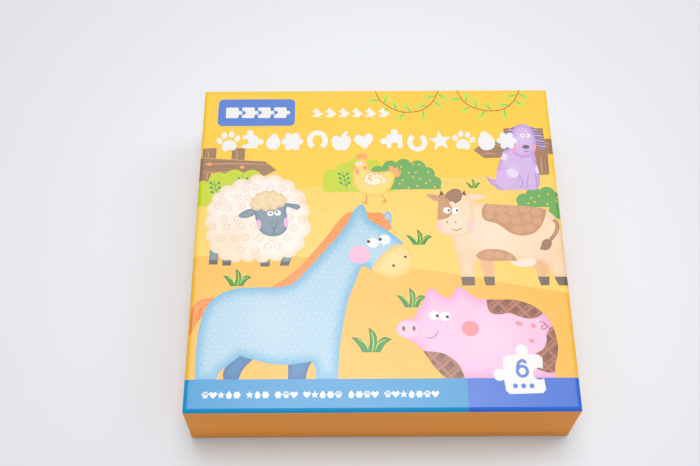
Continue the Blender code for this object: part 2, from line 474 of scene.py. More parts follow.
def stroke(line: Points, width: float, taper: float = 0.0) -> Points:
    """A pen line as an outline.

    Args:
        line: the points along its middle.
        width: its width.
        taper: the share of its width that it loses towards its two ends.

    Returns:
        Its outline.
    """
    ahead = np.gradient(line, axis=0)
    ahead /= np.linalg.norm(ahead, axis=1)[:, None] + 1e-12
    aside = np.stack([-ahead[:, 1], ahead[:, 0]], 1)
    along = np.linspace(-1, 1, len(line))
    half = width / 2 * (1 - taper * along**2)
    return np.concatenate([line + aside * half[:, None], (line - aside * half[:, None])[::-1]])


def curl(x: float, y: float, radius: float, turns: float = 1.4, start: float = 0.0) -> Points:
    """A spiral line from its outer end inwards."""
    share = np.linspace(0, 1, int(turns * 11))
    angle = math.radians(start) + share * turns * 2 * math.pi
    reach = radius * (1 - 0.8 * share)
    return np.stack([x + reach * np.cos(angle), y + reach * np.sin(angle)], 1)


def depth_in(points: Points, outline: Points) -> Points:
    """How far each point is from an outline."""
    start = outline
    step = np.roll(outline, -1, axis=0) - outline
    length = (step**2).sum(1) + 1e-12
    nearest = np.full(len(points), np.inf)
    for block in range(0, len(points), 2000):
        some = points[block : block + 2000, None] - start
        share = np.clip((some * step).sum(2) / length, 0, 1)
        gap = some - share[..., None] * step
        nearest[block : block + 2000] = np.sqrt((gap**2).sum(2).min(1))
    return nearest


def within(points: Points, outline: Points) -> Points:
    """Which points lie inside an outline."""
    x, y = points[:, 0, None], points[:, 1, None]
    x0, y0 = outline[:, 0], outline[:, 1]
    x1, y1 = np.roll(x0, -1), np.roll(y0, -1)
    straddles = (y0 > y) != (y1 > y)
    slope = (x1 - x0) / np.where(y1 == y0, 1e-12, y1 - y0)
    return (straddles & (x < x0 + slope * (y - y0))).sum(1) % 2 == 1


def lattice(
    outline: Points, pitch: float, margin: float = 0.0, jitter: float = 0.25, seed: int = 3
) -> Points:
    """Loosely staggered spots inside an outline.

    Args:
        outline: where they lie.
        pitch: how far apart they are.
        margin: how far they keep from the outline.
        jitter: how far a spot may wander, as a share of the pitch.
        seed: the wandering's seed.

    Returns:
        The spots.
    """
    low, high = outline.min(0), outline.max(0)
    rows = np.arange(low[1], high[1], pitch * 0.87)
    spots = [
        (x + (row % 2) * pitch / 2, y)
        for row, y in enumerate(rows)
        for x in np.arange(low[0], high[0], pitch)
    ]
    grid = np.array(spots) + np.random.default_rng(seed).uniform(-jitter, jitter, (len(spots), 2)) * pitch
    grid = grid[within(grid, outline)]
    return grid[depth_in(grid, outline) > margin] if margin and len(grid) else grid


def piece_outline(size: float, knob: float, kinds: Sequence[int], corner: float = 0.0) -> Points:
    """A picture piece's silhouette round the origin.

    Args:
        size: its side, without the knobs.
        knob: its knobs' radius.
        kinds: 1 a knob, -1 a socket, 0 straight, on the lower, right, upper and left side.
        corner: its corners' radius.

    Returns:
        Its outline.
    """
    half = size / 2
    outline: list[Points] = []
    for side, kind in enumerate(kinds):
        reach = np.linspace(-0.72 * math.pi, 0.72 * math.pi, 13)
        bulb = np.stack([knob * np.sin(reach), -half - kind * knob * (0.78 + np.cos(reach))], 1)
        middle = [tuple(p) for p in bulb] if kind else []
        run = [(-half + corner, -half), *middle, (half - corner, -half)]
        outline.append(turned(np.array(run), 90 * side))
    return np.concatenate(outline)


# ---------------------------------------------------------------- printing


@dataclass(frozen=True)
class Glow:
    """A soft spot of another ink, in the shape's own millimetres."""

    x: float
    y: float
    radius: float
    hue: Hue
    strength: float = 0.8


@dataclass(frozen=True)
class Ink:
    """How one printed shape is coloured."""

    hue: Hue
    rim: Hue | None = None
    reach: float = 4.0
    strength: float = 1.0
    glows: tuple[Glow, ...] = ()

    def placed(self, pen: "Pen") -> "Ink":
        """This ink at a pen's place and size."""
        size = pen.size
        glows = tuple(
            replace(g, x=g.x * size * pen.facing + pen.x, y=g.y * size + pen.y, radius=g.radius * size)
            for g in self.glows
        )
        return replace(self, reach=self.reach * size, glows=glows)

    def at(self, points: Points, outline: Points) -> Points:
        """The linear colours of points in a shape that has this ink.

        Args:
            points: where.
            outline: the shape's outline.

        Returns:
            One RGB row for each point.
        """
        colours = np.tile(linear(self.hue), (len(points), 1))
        for glow in self.glows:
            gap = np.hypot(points[:, 0] - glow.x, points[:, 1] - glow.y) / glow.radius
            share = (glow.strength * np.clip(1 - gap, 0, 1) ** 1.5)[:, None]
            colours += (linear(glow.hue) - colours) * share
        if self.rim:
            near = np.clip(1 - depth_in(points, outline) / self.reach, 0, 1)
            colours += (linear(self.rim) - colours) * (self.strength * near**1.6)[:, None]
        return colours


@dataclass(frozen=True)
class Shape:
    """An outline, its ink, and the shapes that it is kept inside."""

    outline: Points
    ink: Ink
    clips: tuple[int, ...]


@dataclass
class Cut:
    """A sheet cut into triangles, each with its corners' colours and the marks it lies in."""

    points: Points
    triangles: Points
    colours: Points
    marks: list[frozenset[int]]


class Sheet:
    """Flat artwork in millimetres: shapes printed one over another."""

    def __init__(self, outline: Points, ink: Ink) -> None:
        """Starts with the bare sheet, which later shapes lie on."""
        self.shapes: list[Shape] = []
        self.lines: list[Points] = []
        self.spots: list[Points] = []
        self.marks: list[Points] = []
        self.add(outline, ink)

    def add(self, outline: Points, ink: Ink, on: int | None = None) -> int:
        """Prints a shape.

        Args:
            outline: its outline.
            ink: its ink.
            on: the shape that it doesn't reach beyond.

        Returns:
            The shape's number.
        """
        if not anticlockwise(outline):
            outline = outline[::-1]
        clips = () if on is None else (*self.shapes[on].clips, on)
        self.shapes.append(Shape(outline, ink, clips))
        if ink.rim and ink.reach > 1.0:
            across = inwards(np.roll(outline, -1, 0) - np.roll(outline, 1, 0))
            for share in (0.3, 0.65):
                ring = (outline + across * ink.reach * share)[::2]
                ring = ring[within(ring, outline)]
                if len(ring):
                    self.spots.append(ring[depth_in(ring, outline) > 0.8 * share * ink.reach])
        return len(self.shapes) - 1

    def cut(self, pitch: float) -> Cut:
        """Cuts the sheet into triangles along every outline and line.

        Args:
            pitch: how far apart the extra points between the outlines lie.

        Returns:
            The triangles of the bare sheet, painted.
        """
        sheet = self.shapes[0].outline
        points: list[Points] = []
        faces: list[list[int]] = []
        edges: list[tuple[int, int]] = []
        count = 0
        for outline in [shape.outline for shape in self.shapes] + self.marks:
            faces.append(list(range(count, count + len(outline))))
            points.append(outline)
            count += len(outline)
        for line in self.lines:
            edges += [(count + i, count + (i + 1) % len(line)) for i in range(len(line))]
            points.append(line)
            count += len(line)
        points += [lattice(sheet, pitch, 0.4 * pitch), *self.spots]
        flat = [Vector(p) for p in np.concatenate(points)]
        verts, _, tris, _, _, origins = delaunay_2d_cdt(flat, edges, faces, 1, 1e-4, True)
        spots = np.array([tuple(v) for v in verts])
        kept, tops, marks = [], [], []
        first_mark = len(self.shapes)
        for triangle, origin in zip(tris, origins):
            under = set(origin)
            if 0 not in under:
                continue
            shown = (i for i in sorted(under, reverse=True) if i < first_mark)
            tops.append(next(i for i in shown if under.issuperset(self.shapes[i].clips)))
            marks.append(frozenset(i - first_mark for i in under if i >= first_mark))
            kept.append(triangle)
        triangles = np.array(kept)
        colours = np.zeros((len(triangles), 3, 3))
        top = np.array(tops)
        for number in np.unique(top):
            own = np.flatnonzero(top == number)
            shape = self.shapes[number]
            colours[own] = shape.ink.at(spots[triangles[own]].reshape(-1, 2), shape.outline).reshape(-1, 3, 3)
        return Cut(spots, triangles, colours, marks)


@dataclass
class Pen:
    """Draws shapes at a place and a size on a sheet."""

    sheet: Sheet
    x: float = 0.0
    y: float = 0.0
    size: float = 1.0
    facing: int = 1

    def at(self, x: float, y: float, size: float = 1.0, facing: int = 1) -> "Pen":
        """A pen at another place, given in this pen's own terms."""
        where = self.x + x * self.size * self.facing, self.y + y * self.size
        return Pen(self.sheet, *where, self.size * size, self.facing * facing)

    def fill(self, ink: Ink, outline: Points, on: int | None = None) -> int:
        """Prints an outline and returns the shape's number."""
        scaled = outline * (self.size * self.facing, self.size) + (self.x, self.y)
        return self.sheet.add(scaled, ink.placed(self), on)

    def blob(self, ink: Ink, *knots: Sequence[float], on: int | None = None) -> int:
        """Prints a smooth shape through knots."""
        return self.fill(ink, bend(*knots, pitch=0.9 / self.size), on)

    def oval(
        self, ink: Ink, x: float, y: float, across: float, up: float, turn: float = 0.0, on: int | None = None
    ) -> int:
        """Prints an ellipse."""
        round_one = oval(0, 0, across * self.size, up * self.size, turn) / self.size
        return self.fill(ink, round_one + (x, y), on)

    def line(
        self, ink: Ink, *knots: Sequence[float], width: float = 0.5, taper: float = 0.5, on: int | None = None
    ) -> int:
        """Prints a pen line through knots."""
        path = bend(*knots, closed=False, pitch=0.9 / self.size)
        return self.fill(ink, stroke(path, width, taper), on)


# ---------------------------------------------------------------- meshes


class Skin:
    """Gathers the points, faces, colours and finishes of one closed piece, in millimetres."""

    def __init__(self) -> None:
        """Starts empty."""
        self.points: list[Points] = []
        self.count = 0
        self.faces: list[Sequence[int]] = []
        self.colours: list[Points] = []
        self.finishes: list[int] = []

    def add(self, points: Points) -> int:
        """Adds 3-D points and returns the first one's number."""
        self.points.append(points)
        self.count += len(points)
        return self.count - len(points)

    def face(self, corners: Sequence[int], colour: Points, finish: int = 0) -> None:
        """Adds a face whose corners' colours are given, or one colour for them all."""
        self.faces.append(corners)
        self.colours.append(np.broadcast_to(colour, (len(corners), 3)))
        self.finishes.append(finish)

    def skirt(self, upper: Sequence[int], lower: Sequence[int], colour: Points, finish: int = 0) -> None:
        """Joins two closed rings of equally many points with a strip of faces."""
        for i in range(len(upper)):
            j = (i + 1) % len(upper)
            self.face((upper[i], lower[i], lower[j], upper[j]), colour, finish)

    def make(self, name: str, finishes: Sequence[bpy.types.Material]) -> bpy.types.Object:
        """Builds the object.

        Args:
            name: its name.
            finishes: its materials, in the order that face() counts them.

        Returns:
            The object, linked to the scene.
        """
        mesh = bpy.data.meshes.new(name)
        mesh.from_pydata((np.concatenate(self.points) * MM).tolist(), [], [list(f) for f in self.faces])
        mesh.polygons.foreach_set("material_index", self.finishes)
        mesh.polygons.foreach_set("use_smooth", [True] * len(self.faces))
        rgb = np.concatenate(self.colours)
        layer = mesh.color_attributes.new(INK, "FLOAT_COLOR", "CORNER")
        layer.data.foreach_set("color", np.column_stack([rgb, np.ones(len(rgb))]).ravel())
        for finish in finishes:
            mesh.materials.append(finish)
        mesh.update()
        thing = bpy.data.objects.new(name, mesh)
        bpy.context.scene.collection.objects.link(thing)
        return thing


def rim_of(triangles: Iterable[Sequence[int]]) -> list[list[int]]:
    """The closed edges of a patch of triangles, each as point numbers in order."""
    edges = {(int(t[i]), int(t[(i + 1) % 3])) for t in triangles for i in range(3)}
    onward = {a: b for a, b in edges if (b, a) not in edges}
    rims = []
    while onward:
        start, here = onward.popitem()
        rim = [start]
        while here != start:
            rim.append(here)
            here = onward.pop(here)
        rims.append(rim)
    return sorted(rims, key=len, reverse=True)


def top_outlines(node: str) -> list[Points]:
    """The outlines of a solid's flat top, in millimetres, the longest one first.

    Args:
        node: the solid's name.

    Returns:
        The outlines, with their round parts made smooth.
    """
    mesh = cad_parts[node].data
    mesh.calc_loop_triangles()
    spots: dict[tuple[float, ...], int] = {}
    ways = []
    for triangle in mesh.loop_triangles:
        if triangle.normal.z > 0.9:
            corners = [tuple(round(c / MM, 3) for c in mesh.vertices[i].co[:2]) for i in triangle.vertices]
            ways.append([spots.setdefault(c, len(spots)) for c in corners])
    places = np.array(list(spots))
    loops = [places[rim] for rim in rim_of(ways)]
    return sorted((rounded(loop) for loop in loops), key=lambda p: float(np.ptp(p[:, 0])), reverse=True)


def rounded(outline: Points, long_side: float = 6.0, corner: float = 75.0) -> Points:
    """An outline of short chords made smooth, with its long sides straight and its corners sharp."""
    knots: list[tuple[float, ...]] = []
    for i, here in enumerate(outline):
        before, after = outline[i - 1], outline[(i + 1) % len(outline)]
        ahead, behind = after - here, here - before
        sideways = behind[0] * ahead[1] - behind[1] * ahead[0]
        turn = math.degrees(abs(math.atan2(sideways, float(behind @ ahead))))
        if turn < 2.0 and np.linalg.norm(ahead) < long_side and np.linalg.norm(behind) < long_side:
            continue
        knots.append((*here, 1) if turn > corner else tuple(here))
        length = float(np.linalg.norm(ahead))
        if length > long_side:
            knots += [tuple(here + ahead / length), tuple(after - ahead / length)]
    return bend(*knots, pitch=1.4)


def inset(outline: Points, distance: float) -> Points:
    """An anticlockwise outline moved inwards, with its corners kept sharp."""
    step = np.roll(outline, -1, 0) - outline
    middle = inwards(np.roll(step, 1, 0)) + inwards(step)
    spread = (middle**2).sum(1)[:, None] / 2
    return outline + distance * middle / np.maximum(spread, 0.6)


# ---------------------------------------------------------------- artwork, in the lid's own millimetres


class Drawing:
    """Something that a pen draws, in the lid's own millimetres."""

    middle: tuple[float, float] = (0.0, 0.0)

    def draw(self, pen: Pen) -> None:
        """Prints the drawing's shapes."""
        raise NotImplementedError


def eye(pen: Pen, x: float, y: float, across: float, look: tuple[float, float], dot: float = 0.32) -> None:
    """Prints a round white eye.

    Args:
        pen: draws it.
        x: its middle's x.
        y: its middle's y.
        across: its half-width.
        look: where the pupil stands, as a share of the half-width.
        dot: the pupil's share of the eye's size.
    """
    pen.oval(Ink(Hue.EYE, Hue.EYE_RIM, across * 0.5, 0.5), x, y, across, across * 0.94)
    pen.oval(Ink(Hue.PUPIL), x + look[0] * across, y + look[1] * across, across * dot, across * dot)


def leg(
    pen: Pen, ink: Ink, hoof: Ink, top: Sequence[float], foot: Sequence[float], hoof_height: float
) -> None:
    """Prints a straight leg with a hoof.

    Args:
        pen: draws it.
        ink: the leg's ink.
        hoof: the hoof's ink.
        top: left x, right x and y at its top.
        foot: left x, right x and y at its foot.
        hoof_height: how high the hoof is.
    """
    share = hoof_height / (top[2] - foot[2])
    left, right = (foot[i] + share * (top[i] - foot[i]) for i in (0, 1))
    cuff = foot[2] + hoof_height
    corners = [(foot[0], foot[2]), (foot[1], foot[2]), (top[1], top[2]), (top[0], top[2])]
    pen.fill(ink, np.array(corners))
    pen.fill(hoof, np.array([(foot[0], foot[2]), (foot[1], foot[2]), (right, cuff), (left, cuff)]))


@dataclass(frozen=True)
class Sheep(Drawing):
    """A woolly sheep with a dark face."""

    middle: tuple[float, float] = (-59.5, 12.0)
    curl_size: float = 2.5
    curl_pitch: float = 6.4

    def draw(self, pen: Pen) -> None:
        """Prints legs, fleece, curls, head, ears and topknot."""
        skin = Ink(Hue.SHEEP_FACE, Hue.SHEEP_RIM, 2.5, 0.7)
        hoof = Ink(Hue.HOOF)
        leg(pen, skin, hoof, (-76.4, -71.9, -8), (-76.2, -72, -14.2), 2.2)
        leg(pen, skin, hoof, (-58.2, -53, -8), (-57.6, -53.2, -14.8), 1.9)
        leg(pen, skin, hoof, (-82.8, -78.2, -1), (-82.8, -78.6, -13.6), 2.4)
        leg(pen, skin, hoof, (-46, -40.6, -4), (-48.3, -43.9, -14.4), 2.2)
        cream = Ink(
            Hue.WOOL, Hue.WOOL_RIM, 5, 0.8,
            (Glow(-74, -2, 24, Hue.WOOL_RIM, 0.75), Glow(-56, 22, 22, Hue.WHITE, 0.6)),
        )
        fleece = pen.fill(
            cream,
            puffs(
                (-56.7, 34.9), (-47.8, 33.5), (-41.5, 27.8), (-36.5, 19.8), (-35.6, 11.3), (-36.9, 0.2),
                (-39.9, -6.6), (-46.4, -9.6), (-53.2, -10.8), (-60.6, -10.6), (-66.8, -10.9), (-72.8, -11),
                (-78.6, -7.7), (-83, -1.5), (-83.7, 5.6), (-84.4, 13.7), (-83.1, 20.8), (-79.9, 26.4),
                (-73.6, 30), (-65.6, 33.3),
                bulge=0.26,
            ),
        )
        inner = scallop(-60, 11.8, 24.2, 22.6, 12, 0.02)
        for number, (x, y) in enumerate(lattice(inner, self.curl_pitch, 0.4, 0.2, 5)):
            path = curl(x, y, self.curl_size, 1.6, 70 * number)
            pen.fill(Ink(Hue.CURL), stroke(path, 0.36, 0.6), fleece)
        ears = (
            (
                (-61.5, 16.8), (-65.9, 16.1), (-68.9, 14.1), (-69.6, 12.9), (-67.8, 11.7), (-64.3, 12.1),
                (-61, 14.1),
            ),
            ((-47, 19.8), (-42.9, 19.6), (-39.3, 18.8), (-39, 17.2), (-40.7, 16.2), (-44.2, 17.6), (-47, 18)),
        )
        for knots in ears:
            pen.blob(Ink(Hue.SHEEP_FACE, Hue.SHEEP_RIM, 1.4, 0.8), *knots)
        face = pen.blob(
            replace(skin, glows=(Glow(-53, 8, 6, Hue.SHEEP_LIGHT, 0.6),)), (-61.9, 18.3), (-61.6, 14.3),
            (-60.8, 10.4), (-59.5, 5.9), (-57, 2.9), (-53.5, 1.6), (-49.4, 1.8), (-46.3, 3.9), (-44.7, 7.4),
            (-45.1, 11), (-45.8, 15.2), (-46.4, 20.2), (-54, 21),
        )
        for x, y in ((-59.6, 7.8), (-45.4, 9.2)):
            pen.oval(Ink(Hue.CHEEK), x, y, 1.6, 2.9, 0, face)
        eye(pen, -53.7, 14.1, 1.65, (0.05, 0.15))
        eye(pen, -50.1, 14.4, 1.7, (-0.2, 0.25))
        line = Ink(Hue.SHEEP_LINE)
        pen.line(line, (-53, 6.7), (-51.7, 5.5), (-50.5, 6.9), width=0.36)
        pen.line(line, (-51.7, 5.6), (-51.6, 3), width=0.32)
        pen.line(line, (-52.7, 2.5), (-51.6, 2.9), (-50.6, 2.4), width=0.3)
        for x, high in ((-52.9, 10.6), (-50.6, 10.8)):
            pen.line(Ink(Hue.SHEEP_RIM), (x, 7), (x + 0.3, high), width=0.3)
        knot = pen.fill(
            Ink(Hue.TOPKNOT, Hue.TOPKNOT_RIM, 2.4, 0.8),
            puffs(
                (-63.4, 17.8), (-63.4, 20.8), (-61.8, 23.4), (-59, 25.6), (-54.6, 26), (-50.2, 25.4),
                (-47.2, 23.4), (-46.4, 20.2), (-49.8, 17.9), (-54, 16.6), (-58.2, 16.8),
                bulge=0.3,
            ),
        )
        for x, y, start in ((-60.2, 20.4, 30), (-56.4, 22.8, 200), (-51.6, 22, 80), (-54.6, 18.9, 300)):
            pen.fill(Ink(Hue.TOPKNOT_RIM), stroke(curl(x, y, 1.7, 1.2, start), 0.4, 0.6), knot)


@dataclass(frozen=True)
class Hen(Drawing):
    """A yellow hen."""

    middle: tuple[float, float] = (-1.2, 32.6)
    wing: tuple[float, float, float, float] = (-1.2, 33.3, 5.9, 4.1)
    speckles: int = 30

    def draw(self, pen: Pen) -> None:
        """Prints tail, feet, comb, body, wing and face."""
        comb = Ink(Hue.COMB, Hue.MANE, 1.2, 0.5)
        combs = ((7.6, 39, 1.5, 2.4, 25), (9.4, 38, 1.4, 2.5, -30), (9.8, 35.9, 1.3, 2.4, -70))
        for x, y, across, up, turn in combs:
            pen.oval(comb, x, y, across, up, turn)
        shin = Ink(Hue.HEN_LEG)
        for hip, heel, toes in (
            ((-5.6, 24.9), (-5.6, 20.9), ((-7.9, 19.8), (-6.6, 18.5), (-5.2, 18.7))),
            ((1.8, 25.2), (3.8, 21.3), ((1.6, 20), (2.8, 18.8), (4.3, 19.6))),
        ):
            pen.line(shin, hip, heel, width=0.6, taper=0.2)
            for toe in toes:
                pen.line(shin, heel, toe, width=0.5, taper=0.4)
        for x, y in ((-9.6, 46.6), (-7.8, 47.2), (-6, 46.6)):
            pen.oval(comb, x, y, 1.15, 1.7)
        body = pen.blob(
            Ink(Hue.HEN, Hue.HEN_RIM, 2.2, 0.8, (Glow(-4, 31, 8, Hue.TICK_PALE, 0.6),)), (-8, 45.4),
            (-5.4, 44), (-4.4, 41.4), (-3.8, 38.7), (-1.1, 37.7), (2.5, 37.8), (6.8, 38.1), (8.9, 36),
            (8.4, 31.9), (6.5, 27.9), (3.6, 25.1), (-0.6, 23.7), (-5.6, 24.5), (-9.1, 26.3), (-11.9, 30.3),
            (-12.6, 35.2), (-12.2, 39.3), (-11.3, 43.2),
        )
        pen.blob(comb, (-11.4, 41.6), (-12.9, 40.1, 1), (-11, 39.3))
        pen.blob(comb, (-11, 39.4), (-10.6, 36.4), (-9.5, 36.1), (-9.3, 38.8))
        wing = pen.oval(Ink(Hue.WING, Hue.HEN_RIM, 0.9, 0.9), *self.wing, -6)
        hues = (Hue.EYE, Hue.HEN, Hue.EYE, Hue.COMB)
        for number in range(self.speckles):
            turn = math.radians(137.5 * number)
            reach = 0.93 * math.sqrt((number + 0.5) / self.speckles)
            x = self.wing[0] + self.wing[2] * reach * math.cos(turn)
            y = self.wing[1] + self.wing[3] * reach * math.sin(turn)
            pen.oval(Ink(hues[number * 7 % 5 % 4]), x, y, 0.6, 0.52, 0, wing)
        pen.oval(Ink(Hue.MANE), -6.2, 40.1, 1.1, 1.05, 0, body)
        eye(pen, -9.6, 42.6, 1.05, (0.3, 0.15))
        eye(pen, -7.7, 42.6, 1.05, (0.3, 0.15))


@dataclass(frozen=True)
class Horse(Drawing):
    """A light-blue horse whose hooves stand on the lower band."""

    middle: tuple[float, float] = (-36.0, -26.5)
    ground: float = -71.6
    dash_pitch: float = 3.1
    stitch_pitch: float = 3.4

    def draw(self, pen: Pen) -> None:
        """Prints tail, far legs, mane, body, head and coat marks."""
        tail = pen.blob(
            Ink(Hue.MANE, Hue.MANE_LINE, 2.5, 0.5), (-77, -31.6), (-84, -31.6), (-88.4, -34.4),
            (-89.8, -40), (-89.7, -51, 1), (-87.6, -45.4), (-84.4, -40.6), (-80, -37.4),
        )
        for end in ((-88.6, -44), (-86.4, -43), (-84.8, -39.6)):
            pen.line(Ink(Hue.MANE_LINE), (-79, -33.6), (-84.6, -35.6), end, width=0.4, on=tail)
        far = Ink(Hue.HORSE_FAR, Hue.HORSE_FAR_RIM, 5, 0.8)
        foot = self.ground
        pen.blob(
            far, (-66.6, -58.6, 1), (-58.6, -61, 1), (-63.8, -66.6), (-65.8, foot, 1), (-72.8, foot, 1),
            (-72.6, -66.8),
        )
        pen.blob(far, (-43, -62.4, 1), (-31, -61.4, 1), (-33.8, -66.6), (-34.8, foot, 1), (-43, foot, 1))
        mane = pen.blob(
            Ink(Hue.MANE, Hue.MANE_LINE, 2, 0.35), (-10.8, 14.6), (-13.4, 14.8), (-16.6, 13.2),
            (-20.8, 8.2), (-26, 0.6), (-31.6, -6.6), (-38.6, -15), (-45, -20.8), (-52.4, -25.8, 1),
            (-42, -29), (-20, -4), (-8, 8),
        )
        knots = ((-12.4, 16), (-22.4, 6.4), (-33, -8.6), (-42.4, -19.4), (-54, -26.6))
        spine = bend(*knots, closed=False, pitch=1.7)
        for here, after in zip(spine[:-1], spine[1:]):
            aside = np.array([after[1] - here[1], here[0] - after[0]]) / np.linalg.norm(after - here)
            pen.fill(Ink(Hue.MANE_LINE), stroke(np.array([here - aside, here - 8 * aside]), 0.2), mane)
            pen.fill(Ink(Hue.MANE_LINE), stroke(np.array([here + aside, here + 8 * aside]), 0.2), mane)
        ear = ((2, 7.6), (2.8, 12.6), (4.6, 15.2), (6.5, 13.4), (6.3, 7), (5, 4))
        pen.blob(Ink(Hue.HORSE, Hue.HORSE_RIM, 1.6), *ear)
        fringe = pen.blob(
            Ink(Hue.MANE, Hue.MANE_LINE, 1.6, 0.4), (-7, 14.4), (-3, 14.2), (1, 14.3), (3.4, 12.4),
            (2.8, 11, 1), (5.2, 10.6), (6, 8.8), (4.6, 8.2, 1), (6.6, 6.6), (5.8, 4.6), (2.4, 5.4),
            (-2, 7.4), (-7, 9),
        )
        for y in (12.2, 10.2, 8.4):
            pen.line(Ink(Hue.MANE_LINE), (-5, y + 1.2), (-1, y + 0.4), (3, y - 1.4), width=0.35, on=fringe)
        body = pen.blob(
            Ink(Hue.HORSE, Hue.HORSE_RIM, 6.5, 0.95, (Glow(-52, -42, 26, Hue.HORSE_LIGHT, 0.6),)),
            (-85.8, foot, 1), (-86.2, -60), (-85.4, -46), (-82.6, -36), (-77.4, -29.8), (-69, -26.4),
            (-57, -25.8), (-47.4, -25.6), (-41.8, -23.8), (-35.2, -17), (-27.8, -8), (-20.4, 1),
            (-15.2, 8.6), (-12.4, 14.6), (-9.8, 18.2), (-7.9, 19), (-6.2, 16.4), (-5.2, 11.6), (-3.4, 9.6),
            (3, 5.4), (8.6, 1), (12, -3), (9, -12), (2, -17), (-3.4, -17.2), (-6.6, -15), (-8.6, -15.4),
            (-11.4, -22.6), (-15, -32.4), (-17.6, -45.4), (-19.2, -57.6), (-20, foot, 1), (-30, foot, 1),
            (-30.4, -66.4), (-32, -63, 1), (-37, -63.8), (-43, -64.5), (-51.6, -64), (-60, -61.8),
            (-65.6, -60.2, 1), (-71.4, -65), (-74.8, -68), (-76, foot, 1),
        )
        coat = pen.sheet.shapes[body].outline
        scale = np.array([pen.size * pen.facing, pen.size])
        coat = (coat - (pen.x, pen.y)) / scale
        marks = lattice(coat, self.dash_pitch, 3.6, 0.14, 8)
        for x, y in marks[marks[:, 1] > self.ground + 4]:
            lean = np.array([0.44, 0.16 + 0.26 * float(x > -26)])
            path = np.array([(x, y) - lean, (x, y), (x, y) + lean])
            pen.fill(Ink(Hue.WHITE), stroke(path, 0.32, 0.7), body)
        step = np.roll(coat, -1, 0) - coat
        along = np.cumsum(np.linalg.norm(step, axis=1))
        for number in range(int(along[-1] / self.stitch_pitch)):
            place = int(np.searchsorted(along, number * self.stitch_pitch))
            ahead = step[place] / np.linalg.norm(step[place])
            x, y = coat[place] + np.array([-ahead[1], ahead[0]]) * (1.7 if number % 2 else 2.9)
            if y > self.ground + 2:
                ends = np.array([(x, y) - 0.75 * ahead, (x, y), (x, y) + 0.75 * ahead])
                pen.fill(Ink(Hue.HORSE_DASH), stroke(ends, 0.3, 0.7), body)
        cream = Ink(Hue.MUZZLE, Hue.MUZZLE_RIM, 3.4, 0.9, (Glow(7, -12, 6, Hue.MUZZLE_LIGHT, 0.6),))
        pen.blob(
            cream, (-3.6, -16.6), (-1.6, -12.8), (1.6, -9), (5.8, -5.2), (10, -3), (14.2, -4.6),
            (16.7, -9.4), (16.5, -14.8), (12.8, -19.2), (7.2, -21.4), (1.2, -20),
        )
        for x, y in ((7.1, -14.6), (13, -10)):
            pen.oval(Ink(Hue.PUPIL), x, y, 0.75, 0.75)
        pen.oval(Ink(Hue.CHEEK), -9.4, -8.7, 5, 4.9, 0, body)
        eye(pen, -2.8, -2.4, 3, (-0.7, 0.25), 0.3)
        eye(pen, 3, -0.6, 3, (-0.7, 0.05), 0.3)


